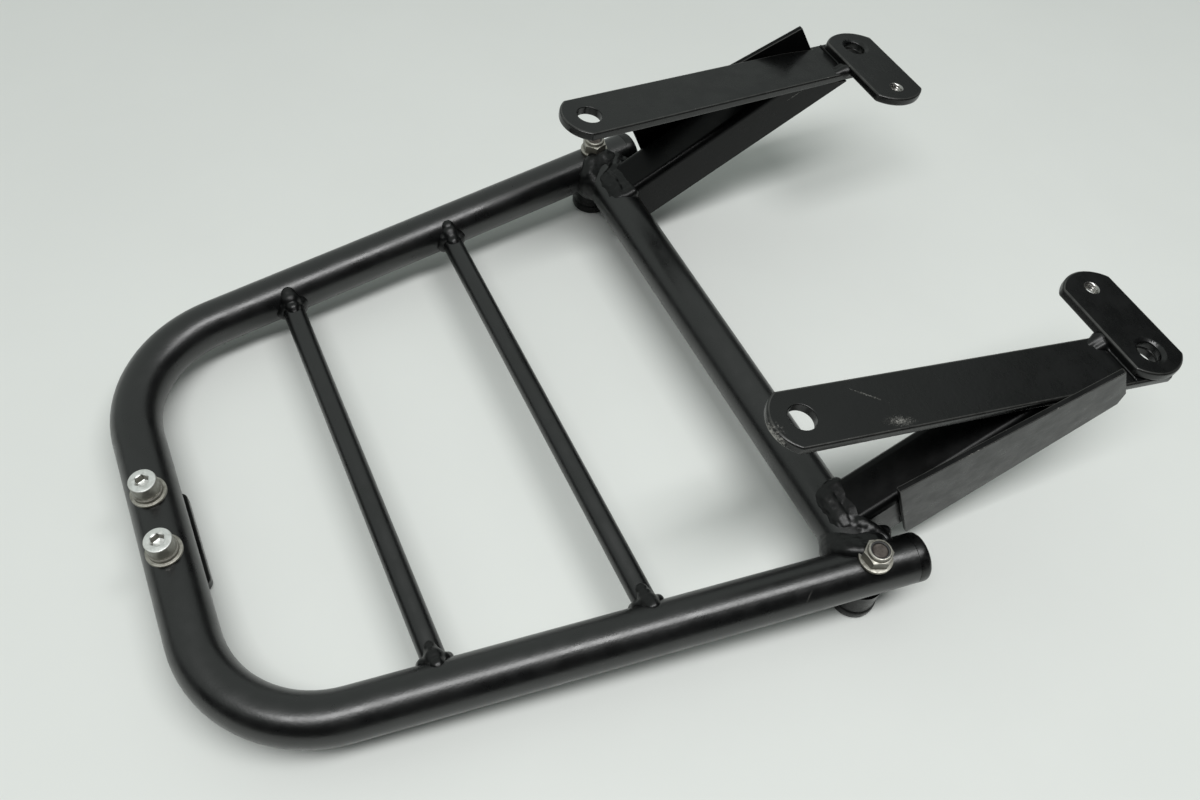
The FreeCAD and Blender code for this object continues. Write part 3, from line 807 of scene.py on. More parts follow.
def flat_ring(radius: float, height: float) -> Ring:
    """A plain circle."""
    return lambda angle: (radius, height)


def circles(*rows: Span) -> list[Ring]:
    """Plain circles from rows of radius and height."""
    return [flat_ring(radius, height) for radius, height in rows]


def turned(radius: float, height: float, rows: Rows) -> list[Ring]:
    """Plain circles set in from a radius and up from a height.

    Args:
        radius: where the inset is 0.
        height: where the rise is 0.
        rows: inset and rise of each circle, in millimetres.

    Returns:
        The rings.
    """
    return [flat_ring(radius - inset * MM, height + rise * MM) for inset, rise in rows]


def six_sided(across: float, angle: float) -> float:
    """Radius of a hexagon at one angle.

    Args:
        across: width across the flats.
        angle: the angle.

    Returns:
        The radius.
    """
    sixth = FULL_TURN / 6.0
    return across / 2.0 / math.cos((angle % sixth) - sixth / 2.0)


def six_ring(across: float, height: float, most: float = math.inf) -> Ring:
    """A hexagon that is nowhere wider than the most allowed radius."""
    return lambda angle: (min(six_sided(across, angle), most), height)


def chamfered(across: float, flat: float, height: float, way: float, angle: float) -> Span:
    """A hexagon's point where its corners are chamfered beside an end face.

    Args:
        across: width across the flats.
        flat: radius of the round end face.
        height: the end face's height.
        way: 1 where the hexagon is above the end face, -1 where it is below.
        angle: the point's angle.

    Returns:
        The point's radius and height.
    """
    radius = six_sided(across, angle)
    drop = max(0.0, radius - flat) * HEX_SLOPE
    return (radius, height + way * drop + way * HEX_SOFT)


def washer_mesh(outer: float, bore: float, height: float) -> Mesh:
    """A flat washer with softened edges, standing on height 0.

    Args:
        outer: its radius.
        bore: its hole's radius.
        height: its thickness.

    Returns:
        The mesh.
    """
    rings = circles(
        (bore, WASHER_EDGE),
        (bore, height - WASHER_EDGE),
        (bore + WASHER_EDGE, height),
        (outer - WASHER_EDGE, height),
        (outer - WASHER_ROUND, height - WASHER_ROUND),
        (outer, height - WASHER_EDGE),
        (outer, WASHER_EDGE),
        (outer - WASHER_EDGE, 0.0),
        (bore + WASHER_EDGE, 0.0),
    )
    return ring_loft(rings, closed=True)


def both_sides(x: float, aside: float, height: float, turns: Span = (0.0, 0.0)) -> list[Matrix]:
    """Two upright places, one on each side.

    Args:
        x: their X in the row frame.
        aside: how far each is from the middle.
        height: their height.
        turns: each one's turn about its axis, the left one first.

    Returns:
        The places.
    """
    places = []
    for side, turn in zip(Side, turns):
        place = Matrix.Translation((x, side.value * aside, height))
        places.append(place @ Matrix.Rotation(turn, 4, "Z"))
    return places


class PieceTree(NodeBench):
    """A Geometry Nodes tree that makes pieces at points, realizes them and gives them their finish."""

    def __init__(self, name: str, extra: dict[str, str]) -> None:
        """Start the tree with its inputs.

        Args:
            name: the tree's name.
            extra: names and kinds of the inputs besides the points and the finish.
        """
        super().__init__(bpy.data.node_groups.new(name, "GeometryNodeTree"))
        face = self.tree.interface
        self.sockets: dict[str, str] = {}
        for label, kind in ({"Points": "Geometry"} | extra | {"Finish": "Material"}).items():
            made = face.new_socket(label, in_out="INPUT", socket_type="NodeSocket" + kind)
            self.sockets[label] = made.identifier
        face.new_socket("Pieces", in_out="OUTPUT", socket_type="NodeSocketGeometry")
        self.entry = self.node("NodeGroupInput").outputs

    def attribute(self, name: str, kind: str) -> Any:
        """The socket that reads a named attribute of the points."""
        made = self.node("GeometryNodeInputNamedAttribute", {"Name": name}, data_type=kind)
        return made.outputs["Attribute"]

    def close(self, geometry: Any) -> None:
        """End the tree.

        Args:
            geometry: the socket that gives the pieces.
        """
        real = self.node("GeometryNodeRealizeInstances", {"Geometry": geometry}).outputs["Geometry"]
        inputs = {"Geometry": real, "Material": self.entry["Finish"]}
        finish = self.node("GeometryNodeSetMaterial", inputs).outputs["Geometry"]
        self.node("NodeGroupOutput", {"Pieces": finish})

    def plant(self, name: str, points: Sequence[Vector], inputs: dict[str, Any]) -> Piece:
        """Set the tree on a new object's points, not yet evaluated.

        Args:
            name: the object's name.
            points: the points.
            inputs: values for the tree's inputs.

        Returns:
            The object.
        """
        mesh = bpy.data.meshes.new(name)
        mesh.from_pydata([tuple(point) for point in points], [], [])
        piece = add_object(name, mesh)
        modifier = piece.modifiers.new("pieces", "NODES")
        modifier.node_group = self.tree
        for label, value in inputs.items():
            modifier[self.sockets[label]] = value
        return piece


class Repeater(PieceTree):
    """Sets one piece at every place."""

    def __init__(self) -> None:
        """Build the tree once."""
        super().__init__("repeat_piece", {"Piece": "Object"})
        info = self.node("GeometryNodeObjectInfo", {"Object": self.entry["Piece"]})
        turn = self.node("FunctionNodeEulerToRotation", {"Euler": self.attribute(TURN, "FLOAT_VECTOR")})
        inputs = {"Points": self.entry["Points"], "Instance": info.outputs["Geometry"]}
        inputs["Rotation"] = turn.outputs["Rotation"]
        self.close(self.node("GeometryNodeInstanceOnPoints", inputs).outputs["Instances"])

    def make(self, name: str, mesh: Mesh, places: Sequence[Matrix], finish: Material) -> Piece:
        """Set a mesh at every place.

        Args:
            name: the new piece's name.
            mesh: the one piece, at the origin.
            places: where each copy goes.
            finish: its material.

        Returns:
            The new piece, a plain mesh.
        """
        template = add_object(name + "_one", mesh)
        spots = [place.translation for place in places]
        piece = self.plant(name, spots, {"Piece": template, "Finish": finish})
        turns = piece.data.attributes.new(TURN, "FLOAT_VECTOR", "POINT")
        for index, place in enumerate(places):
            turns.data[index].vector = place.to_euler()
        bake_modifiers(piece)
        bpy.data.objects.remove(template)
        return piece


class BeadMaker(PieceTree):
    """Turns seam points into lumps of weld, melted into one skin."""

    voxel: float = 0.5 * MM
    threshold: float = 0.3
    calm_factor: float = 0.5
    calm_rounds: int = 22
    waves: tuple[Span, ...] = ((1.0, 210.0), (0.5, 520.0))

    def __init__(self) -> None:
        """Build the tree once."""
        super().__init__("weld_bead", {"Voxel": "Float", "Threshold": "Float"})
        size = self.attribute(BEAD_SIZE, "FLOAT")
        points = self.node("GeometryNodeMeshToPoints", {"Mesh": self.entry["Points"], "Radius": size})
        inputs = {"Points": points.outputs["Points"], "Radius": size, "Voxel Size": self.entry["Voxel"]}
        melt = self.node("GeometryNodePointsToVolume", inputs, resolution_mode="VOXEL_SIZE")
        volume = {"Volume": melt.outputs["Volume"], "Threshold": self.entry["Threshold"]}
        skin = self.node("GeometryNodeVolumeToMesh", volume).outputs["Mesh"]
        self.close(self.node("GeometryNodeSetShadeSmooth", {"Geometry": skin}).outputs["Geometry"])

    def make(self, name: str, drops: Sequence[Sized], finish: Material, lump: float) -> Piece:
        """Melt drops of weld into one lumpy skin.

        Args:
            name: the new piece's name.
            drops: middle and radius of each drop.
            finish: the material.
            lump: height of the lumps.

        Returns:
            The new piece, a plain mesh.
        """
        inputs = {"Finish": finish, "Voxel": self.voxel, "Threshold": self.threshold}
        piece = self.plant(name, [centre for centre, _ in drops], inputs)
        sizes = piece.data.attributes.new(BEAD_SIZE, "FLOAT", "POINT")
        for index, (_, radius) in enumerate(drops):
            sizes.data[index].value = radius
        calm = piece.modifiers.new("calm", "SMOOTH")
        calm.factor = self.calm_factor
        calm.iterations = self.calm_rounds
        bake_modifiers(piece)
        outward = [vertex.normal.copy() for vertex in piece.data.vertices]
        for vertex, normal in zip(piece.data.vertices, outward):
            wave = sum(share * noise.noise(vertex.co * cells) for share, cells in self.waves)
            vertex.co += normal * wave * lump
        give_finish(piece, finish)
        return piece


@dataclass
class Tubework:
    """The bent hoop, the cross tube and the two rods, which keep their CAD shapes."""

    nodes: tuple[str, ...] = ("hoop_tube", "cross_tube", "rear_rod", "front_rod")

    def dress(self, frame: dict[str, Any], finishes: Finishes) -> None:
        """Paint the tubes.

        Args:
            frame: the loaded frame.
            finishes: the rack's finishes.
        """
        for name in self.nodes:
            give_finish(frame["nodes"][name], finishes.tube)
            LOG.info("%s: painted", name)


@dataclass
class PlateWork:
    """Flat bars and folded sheets: the CAD shapes with their edges broken."""

    bar_edge: float = 1.2 * MM
    sheet_edge: float = 0.4 * MM
    hole_edge: float = 0.5 * MM
    tapped_edge: float = 1.3 * MM
    hole_reach: float = 9.0 * MM
    steps: int = 3
    roundness: float = 0.5
    sharp: float = math.radians(35.0)
    flat: float = math.radians(0.5)
    merge: float = 2e-6
    sliver: float = 5e-6
    # Rounding that faces up gets the full edge mark and the rest a share: the mark brings edge wear and a
    # painted edge highlight.
    bar_upper: float = 0.8
    sheet_upper: float = 0.15
    lower_share: float = 0.25

    def holes(self, kind: str, side: Side) -> list[Sized]:
        """Where a plate's holes are and how far their edges are broken.

        Args:
            kind: the plate's name without its side.
            side: which bracket.

        Returns:
            One point on each hole's axis, with the width of its edge.
        """
        if kind == "strap":
            return [(PLAN.strap_frame(side).translation, self.hole_edge)]
        if kind == "end_plate":
            place = PLAN.end_plate_frame(side)
            tapped = place @ Vector((0.0, -side.value * PLAN.thread_aside, 0.0))
            clear = place @ Vector((0.0, side.value * PLAN.clear_aside, 0.0))
            return [(tapped, self.tapped_edge), (clear, self.hole_edge)]
        return []

    def broken(
        self,
        node: Piece,
        name: str,
        edge: float,
        upper: float,
        holes: Sequence[Sized] = (),
        mirrored: bool = False,
    ) -> Piece:
        """A copy of a CAD node with rounded edges.

        Args:
            node: the CAD node.
            name: the new piece's name.
            edge: width of the rounding.
            upper: rounding that faces up by more than this is fully marked as worn and given the painted
                edge highlight.
            holes: points on the holes' axes, with the width of each hole's own edge.
            mirrored: make the same plate of the other side.

        Returns:
            The new piece.
        """
        shape = bmesh.new()
        shape.from_mesh(node.data)
        mark = shape.faces.layers.float.new(EDGE_MARK)
        bmesh.ops.remove_doubles(shape, verts=shape.verts, dist=self.merge)
        bmesh.ops.dissolve_limit(
            shape, angle_limit=self.flat, verts=shape.verts, edges=shape.edges, delimit=set()
        )
        paired = [line for line in shape.edges if len(line.link_faces) == 2]
        lines = [line for line in paired if line.calc_face_angle(0.0) > self.sharp]
        works = []
        for hole, width in holes:
            middles = [(line, (line.verts[0].co + line.verts[1].co) / 2.0) for line in lines]
            rim = [line for line, middle in middles if (middle - hole).length < self.hole_reach]
            lines = [line for line in lines if line not in rim]
            works.append((rim, width, 0.0))
        works.append((lines, edge, 1.0))
        for group, width, share in works:
            made = bmesh.ops.bevel(
                shape,
                geom=group,
                offset=width,
                offset_type="OFFSET",
                segments=self.steps,
                profile=self.roundness,
                affect="EDGES",
                clamp_overlap=False,
            )
            shape.normal_update()
            # The mark brings edge wear and a painted edge highlight, fullest where the rounding faces up;
            # hole rims get none.
            for face in made["faces"]:
                face[mark] = share * (1.0 if face.normal.z > upper else self.lower_share)
        bmesh.ops.dissolve_degenerate(shape, dist=self.sliver, edges=shape.edges)
        if mirrored:
            bmesh.ops.transform(shape, matrix=Matrix.Diagonal((1.0, -1.0, 1.0, 1.0)), verts=shape.verts)
            bmesh.ops.reverse_faces(shape, faces=shape.faces)
        piece = add_object(name, settled(shape, name))
        weigh = piece.modifiers.new("weigh", "WEIGHTED_NORMAL")
        weigh.keep_sharp = False
        return bake_modifiers(piece)

    def dress(self, frame: dict[str, Any], finishes: Finishes) -> None:
        """Make both brackets' plates, the left ones mirrored from the right, and the clamp plate.

        Args:
            frame: the loaded frame.
            finishes: the rack's finishes.
        """
        nodes = frame["nodes"]
        works = (
            ("strap", self.bar_edge, self.bar_upper, finishes.bar),
            ("end_plate", self.bar_edge, self.bar_upper, finishes.bar),
            ("strut", self.sheet_edge, self.sheet_upper, finishes.sheet),
            ("side_plate", self.sheet_edge, self.sheet_upper, finishes.sheet),
        )
        made = []
        for side in Side:
            for kind, edge, upper, finish in works:
                name = f"{side.word}_{kind}"
                source = nodes[f"{Side.RIGHT.word}_{kind}"]
                holes = self.holes(kind, Side.RIGHT)
                piece = self.broken(source, name + "_dressed", edge, upper, holes, side is Side.LEFT)
                made.append((piece, finish, name))
        name = "clamp_plate"
        clamp = self.broken(nodes[name], name + "_dressed", self.sheet_edge, self.sheet_upper)
        made.append((clamp, finishes.bar, name))
        for piece, finish, name in made:
            give_finish(piece, finish)
            adopt(piece, Slot.PAINT, name)


@dataclass
class WeldWork:
    """Weld beads at the rods, the cross tube, the struts and the end plates.

    A swell is a level, what is added towards the sides, and a share of unevenness. Rows in plain numbers
    are in millimetres, apart from their shares and degrees.
    """

    grain: Point = (0.37, 7.7, 3.3)
    slow: float = 0.6
    row_steps: int = 40
    lump: float = 0.16 * MM
    chain_pace: float = 2.0
    chain_uneven: float = 0.22
    chain_lift: float = 0.6 * MM
    ring_steps: int = 44
    rod_bead: float = 2.7 * MM
    rod_swell: Point = (0.8, 0.4, 0.3)
    rod_cap: float = 5.0 * MM
    # Outwards and up from the rod's top, and the share of the cap.
    rod_crest: tuple[Point, ...] = ((3.0, 1.6, 0.8), (0.0, -0.8, 1.0), (-9.0, -2.6, 0.66))
    rod_counts: tuple[int, int] = (7, 12)
    rod_seed_step: int = 20
    tube_steps: int = 90
    tube_sunk: float = 1.0 * MM
    tube_swell: Point = (0.7, 0.3, 0.1)
    tube_pace: float = 0.1
    # In from the arm's wall, and the drop's radius.
    tube_rings: tuple[Span, ...] = (
        (0.0, 6.2),
        (2.2, 5.4),
        (4.4, 4.4),
        (6.6, 3.3),
        (8.8, 2.2),
        (11.0, 1.2),
    )
    tube_open: float = math.radians(84.0)
    strut_bead: float = 4.2 * MM
    strut_margin: float = 1.5 * MM
    strut_seed: float = 9.0
    strut_sway: float = 0.4
    strut_ripple: Span = (0.97, 0.06)
    # Swell, and the share of the width where it starts, at the inner and the outer corner.
    strut_corners: tuple[Span, Span] = ((0.3, 0.35), (-0.5, 0.75))
    # Up the web, below its face, and the share of the bead.
    strut_rows: tuple[Point, ...] = (
        (-2.6, 2.6, 0.8),
        (-0.2, 3.0, 1.0),
        (2.4, 3.3, 1.0),
        (5.2, 3.3, 0.9),
    )
    # Degrees round the cross tube from its top, and the drop's radius.
    strut_skirt: tuple[Span, ...] = ((-5.0, 3.6), (-15.0, 3.0), (-26.0, 2.3), (-37.0, 1.7))
    skirt_sunk: float = 1.4 * MM
    skirt_start: float = 1.0 * MM
    skirt_short: float = 4.0 * MM
    skirt_wave: float = 5.0
    skirt_fade: Span = (1.5, 0.3)
    # In the strut's frame: inner flange at the web and below it, then the web's outer edge.
    flange_line: tuple[Point, Point] = ((4.0, 1.6, -3.0), (5.5, 1.6, -17.0))
    flange_sizes: Span = (3.6, 2.4)
    flange_seed: float = 31.0
    outer_edge: Point = (4.0, 24.5, -3.5)
    # Ahead of the cross tube, in from the arm's axis and up from it.
    outer_arm: Point = (13.0, 9.3, 8.2)
    outer_sizes: Span = (4.3, 3.8)
    outer_seed: float = 47.0
    line_count: int = 16
    # Weld mass between the outer flange and the arm, which also stands in for the shade there. Start and
    # end as for the arm, with their radii.
    strut_fill: tuple[tuple[Point, Point, Span], ...] = (
        ((3.0, 15.5, 8.5), (16.0, 14.5, 7.0), (4.5, 3.6)),
        ((7.0, 15.0, 3.5), (18.0, 14.5, 2.0), (4.5, 3.4)),
        ((9.0, 14.5, -2.0), (17.0, 14.0, -3.0), (4.2, 3.2)),
    )
    fill_seed: float = 60.0
    fill_count: int = 14
    plate_bead: float = 2.2 * MM
    plate_short: float = 3.0 * MM
    plate_seed: float = 6.0
    plate_off: float = 0.3 * MM
    plate_swell: Point = (0.55, 1.2, 0.3)
    plate_ripple: Span = (0.95, 0.08)
    # Behind the end plate, out from the strap's inner edge, up, and the drop's radius.
    plate_corner: tuple[tuple[float, float, float, float], ...] = (
        (0.0, 2.4, 0.4, 4.0),
        (2.0, 2.6, -0.5, 3.8),
        (4.0, 2.8, -1.2, 3.4),
        (6.0, 3.0, -1.6, 2.9),
        (8.0, 3.2, -1.8, 2.4),
        (1.0, 6.0, -0.2, 3.4),
        (3.0, 6.2, -1.0, 3.0),
        (5.0, 6.4, -1.5, 2.5),
    )

    def uneven(self, *key: float) -> float:
        """A fixed unevenness from -1 to 1 for one drop."""
        first, second, rest = self.grain
        return noise.noise(Vector((key[0] * first, key[1] * second, sum(key[2:]) * rest)))

    def swell(self, levels: Point, angle: float, wobble: float) -> float:
        """A drop's share at one angle round a tube."""
        return levels[0] + levels[1] * abs(math.cos(angle)) + levels[2] * wobble

    def shares(self) -> list[float]:
        """The steps of a row, each as a share of its length."""
        return [step / (self.row_steps - 1.0) for step in range(self.row_steps)]

    def by_arm(self, side: Side, row: Point) -> Vector:
        """A point beside an arm.

        Args:
            side: which arm.
            row: ahead of the cross tube, in from the arm's axis and up from it.

        Returns:
            The point in the row frame.
        """
        ahead, inward, over = row
        return PLAN.arm_line(side, ahead * MM) + Vector((0.0, -side.value * inward * MM, over * MM))

    def by_strut(self, side: Side, row: Point) -> Vector:
        """A point of a strut.

        Args:
            side: which strut.
            row: up the web, across it from its inner edge and off its face.

        Returns:
            The point in the row frame.
        """
        along, across, off = row
        return PLAN.strut_frame(side) @ Vector((along * MM, side.value * across * MM, off * MM))

    def chain(self, start: Vector, end: Vector, sizes: Span, count: int, seed: float) -> list[Sized]:
        """Drops along a straight line.

        Args:
            start: middle of the first drop.
            end: middle of the last drop.
            sizes: radius of the first and the last drop, in metres.
            count: number of drops.
            seed: picks the unevenness.

        Returns:
            The drops.
        """
        drops = []
        for step in range(count):
            share = step / (count - 1.0)
            wobble = self.uneven(step * self.chain_pace, seed)
            radius = (sizes[0] + (sizes[1] - sizes[0]) * share) * (1.0 + self.chain_uneven * wobble)
            drops.append((start.lerp(end, share) + Vector((0.0, 0.0, self.chain_lift * wobble)), radius))
        return drops

    def rod_drops(self, side: Side, back: float, seed: int) -> list[Sized]:
        """Drops round one rod's end, with a cap on top.

        Args:
            side: which arm.
            back: the rod's distance behind the cross tube.
            seed: picks the unevenness.

        Returns:
            The drops.
        """
        middle = PLAN.cross_forward - back
        drops = []
        for step in range(self.ring_steps):
            angle = FULL_TURN * step / self.ring_steps
            x = middle + PLAN.rod_radius * math.cos(angle)
            z = PLAN.cross_height + PLAN.rod_radius * math.sin(angle)
            y = PLAN.arm_wall(side, x, z, PLAN.tube_radius)
            size = self.swell(self.rod_swell, angle, self.uneven(step, seed))
            drops.append((Vector((x, y, z)), self.rod_bead * size))
        top = PLAN.cross_height + PLAN.rod_radius
        wall = PLAN.arm_wall(side, middle, top, PLAN.tube_radius)
        crest = []
        for outward, over, share in self.rod_crest:
            spot = Vector((middle, wall + side.value * outward * MM, top + over * MM))
            crest.append((spot, self.rod_cap * share))
        for index, count in enumerate(self.rod_counts):
            (start, first), (end, last) = crest[index : index + 2]
            drops.extend(self.chain(start, end, (first, last), count, seed + index * self.rod_seed_step))
        return drops

    def tube_drops(self, side: Side) -> list[Sized]:
        """Drops that flare out from one end of the cross tube to the arm, clear of the foot below.

        Args:
            side: which arm.

        Returns:
            The drops.
        """
        drops = []
        seat = PLAN.tube_radius - self.tube_sunk
        for along, size in self.tube_rings:
            for step in range(self.tube_steps):
                swept = (FULL_TURN - self.tube_open) * step / (self.tube_steps - 1.0)
                angle = -math.pi / 2.0 + self.tube_open / 2.0 + swept
                x = PLAN.cross_forward + seat * math.cos(angle)
                z = PLAN.cross_height + seat * math.sin(angle)
                y = PLAN.arm_wall(side, x, z, PLAN.tube_radius) - side.value * along * MM
                wobble = self.uneven(step * self.slow, side.value, along * self.tube_pace)
                drops.append((Vector((x, y, z)), size * self.swell(self.tube_swell, angle, wobble) * MM))
        return drops

    def strut_row_drops(self, side: Side) -> list[Sized]:
        """Drops in rows along one strut's foot.

        Args:
            side: which strut.

        Returns:
            The drops.
        """
        drops = []
        place = PLAN.strut_frame(side)
        level, rough = self.strut_ripple
        (inner, inner_start), (outer, outer_start) = self.strut_corners
        for step, share in enumerate(self.shares()):
            wide = PLAN.web_width - 2.0 * self.strut_margin
            across = side.value * (self.strut_margin + share * wide)
            sway = self.strut_sway * self.uneven(step, side.value, self.strut_seed)
            corner = 1.0 + inner * max(0.0, inner_start - share) + outer * max(0.0, share - outer_start)
            for along, sunk, size in self.strut_rows:
                ripple = self.uneven(step + self.strut_seed * along, side.value, along)
                centre = place @ Vector(((along + sway) * MM, across, -sunk * MM))
                drops.append((centre, self.strut_bead * size * corner * (level + rough * ripple)))
        return drops

    def skirt_drops(self, side: Side) -> list[Sized]:
        """Drops that run out from one strut's foot round the cross tube.

        Args:
            side: which strut.

        Returns:
            The drops.
        """
        drops = []
        seat = PLAN.tube_radius - self.skirt_sunk
        steep, start = self.skirt_fade
        for turn, size in self.strut_skirt:
            for step, share in enumerate(self.shares()):
                wide = PLAN.web_width - self.skirt_short
                across = side.value * (PLAN.strut_inside + self.skirt_start + share * wide)
                wobble = self.uneven(step * self.slow, side.value, turn)
                angle = math.radians(turn + self.skirt_wave * wobble)
                x = PLAN.cross_forward + seat * math.sin(angle)
                z = PLAN.cross_height + seat * math.cos(angle)
                fade = 1.0 - steep * max(0.0, abs(share - 0.5) - start)
                drops.append((Vector((x, across, z)), size * fade * MM))
        return drops

    def strut_drops(self, side: Side) -> list[Sized]:
        """Drops along one strut's foot on the cross tube, down its flange and across to the arm, with a
        mass by the arm that also stands in for shade.

        Args:
            side: which strut.

        Returns:
            The drops.
        """
        drops = self.strut_row_drops(side) + self.skirt_drops(side)
        inner, under = (self.by_strut(side, row) for row in self.flange_line)
        outer, arm = self.by_strut(side, self.outer_edge), self.by_arm(side, self.outer_arm)
        lines = [
            (inner, under, self.flange_sizes, self.line_count, self.flange_seed),
            (outer, arm, self.outer_sizes, self.line_count, self.outer_seed),
        ]
        # The fill: weld mass between the outer flange and the arm, partly standing in for shade.
        for index, (near, far, sizes) in enumerate(self.strut_fill):
            start, end = self.by_arm(side, near), self.by_arm(side, far)
            lines.append((start, end, sizes, self.fill_count, self.fill_seed + index))
        for start, end, sizes, count, seed in lines:
            radii = (sizes[0] * MM, sizes[1] * MM)
            drops.extend(self.chain(start, end, radii, count, seed * side.value))
        return drops

    def plate_drops(self, side: Side) -> list[Sized]:
        """Drops along one end plate's rear edge on the strap, thickest at its inner corner.

        Args:
            side: which end plate.

        Returns:
            The drops.
        """
        place = PLAN.end_plate_frame(side)
        drops = []
        rear = -PLAN.end_plate_depth / 2.0
        middle = PLAN.end_plate_aside / math.cos(PLAN.strap_yaw)
        middle -= PLAN.end_plate_depth / 2.0 * math.tan(PLAN.strap_yaw)
        least, more, start = self.plate_swell
        level, rough = self.plate_ripple
        for step, share in enumerate(self.shares()):
            across = side.value * (middle + (share - 0.5) * (PLAN.strap_width - self.plate_short))
            ripple = level + rough * self.uneven(step, side.value, self.plate_seed)
            centre = place @ Vector((rear - self.plate_off, across, self.plate_off))
            inner = least + more * max(0.0, start - share) / start
            drops.append((centre, self.plate_bead * inner * ripple))
        corner = middle - PLAN.strap_width / 2.0
        for back, aside, over, size in self.plate_corner:
            spot = Vector((rear - back * MM, side.value * (corner + aside * MM), over * MM))
            drops.append((place @ spot, size * MM))
        return drops

    def dress(self, beads: BeadMaker, finishes: Finishes) -> None:
        """Make all the welds.

        Args:
            beads: the bead tree.
            finishes: the rack's finishes.
        """
        rods: list[Sized] = []
        for seed, (side, back) in enumerate((side, back) for side in Side for back in PLAN.rod_backs):
            rods.extend(self.rod_drops(side, back, seed + 1))
        works = {"rod": rods}
        seams = {"cross_tube": self.tube_drops, "strut": self.strut_drops, "end_plate": self.plate_drops}
        for kind, seam in seams.items():
            works[kind] = [drop for side in Side for drop in seam(side)]
        for kind, drops in works.items():
            piece = beads.make(kind + "_weld_beads", drops, finishes.weld, self.lump)
            adopt(piece, Slot.PAINT, kind + "_welds")


@dataclass
class RearScrews:
    """Socket head screws on spring washers and flat washers, on the rear bar.

    Rows are insets and rises in millimetres.
    """

    shank: float = 4.0 * MM
    head: float = 6.5 * MM
    head_height: float = 8.0 * MM
    socket: float = 6.0 * MM
    socket_depth: float = 4.5 * MM
    socket_point: float = 1.2 * MM
    mouth_share: float = 1.2
    mouth_drops: Span = (0.3 * MM, 0.6 * MM)
    tail: float = 35.8 * MM
    tail_rows: Rows = ((0.9, 0.0), (0.0, 0.9))
    lower_rows: Rows = ((0.35, 0.0), (0.1, 0.1), (0.0, 0.35))
    crown_rows: Rows = ((0.0, -0.75), (0.08, -0.45), (0.3, -0.15), (0.7, 0.0))
    washer: float = 8.5 * MM
    bore: float = 4.2 * MM
    spring: float = 7.1 * MM
    spring_edge: float = 0.3 * MM
    spring_steps: int = 72
    split: float = math.radians(9.0)
    split_lean: float = 0.16
    spring_turns: Span = (0.9, 2.3)
    screw_turns: Span = (0.35, 0.42)

    def screw_mesh(self) -> Mesh:
        """The screw, its head's underside at height 0.

        Returns:
            The mesh.
        """
        top, mouth = self.head_height, self.socket / 2.0 * self.mouth_share
        first, second = self.mouth_drops
        rings = [
            flat_ring(0.0, -self.tail),
            *turned(self.shank, -self.tail, self.tail_rows),
            flat_ring(self.shank, 0.0),
            *turned(self.head, 0.0, self.lower_rows),
            *turned(self.head, top, self.crown_rows),
            flat_ring(mouth, top),
            six_ring(self.socket, top - first, mouth),
            six_ring(self.socket, top - second),
            six_ring(self.socket, top - self.socket_depth),
            flat_ring(0.0, top - self.socket_depth - self.socket_point),
        ]
        return ring_loft(rings, FINE_STEPS)

    def spring_mesh(self) -> Mesh:
        """A split spring washer, standing on height 0.

        Returns:
            The mesh.
        """
        edge = self.spring_edge
        inner, outer, height = self.bore, self.spring, PLAN.spring_thickness
        section = (
            (inner, edge),
            (inner, height - edge),
            (inner + edge, height),
            (outer - edge, height),
            (outer, height - edge),
            (outer, edge),
            (outer - edge, 0.0),
            (inner + edge, 0.0),
        )
        shape = bmesh.new()
        rows = []
        for step in range(self.spring_steps + 1):
            base = self.split / 2.0 + (FULL_TURN - self.split) * step / self.spring_steps
            row = []
            for radius, rise in section:
                angle = base + self.split_lean * (rise / height - 0.5)
                row.append(shape.verts.new(polar(radius, angle, rise)))
            rows.append(row)
        for first, second in zip(rows, rows[1:]):
            join_rows(shape, first, second)
        shape.faces.new(rows[0])
        shape.faces.new(list(reversed(rows[-1])))
        return settled_sharp(shape, "spring_washer")

    def dress(self, repeat: Repeater, finishes: Finishes) -> None:
        """Make the screws and their washers.

        Args:
            repeat: the repeating tree.
            finishes: the rack's finishes.
        """
        spots = partial(both_sides, PLAN.cross_forward - PLAN.rear_bar_back, PLAN.screw_spacing)
        crest = PLAN.cross_height + PLAN.tube_radius
        flat = washer_mesh(self.washer, self.bore, PLAN.washer_thickness)
        washers = repeat.make("rear_flat_washers", flat, spots(crest), finishes.aged)
        adopt(washers, Slot.ZINC, "rear_washers")
        seat = crest + PLAN.washer_thickness
        places = spots(seat, self.spring_turns)
        springs = repeat.make("rear_split_washers", self.spring_mesh(), places, finishes.aged)
        adopt(springs, Slot.ZINC, "rear_spring_washers")
        places = spots(seat + PLAN.spring_thickness, self.screw_turns)
        screws = repeat.make("rear_socket_screws", self.screw_mesh(), places, finishes.zinc)
        adopt(screws, Slot.ZINC, "rear_screws")


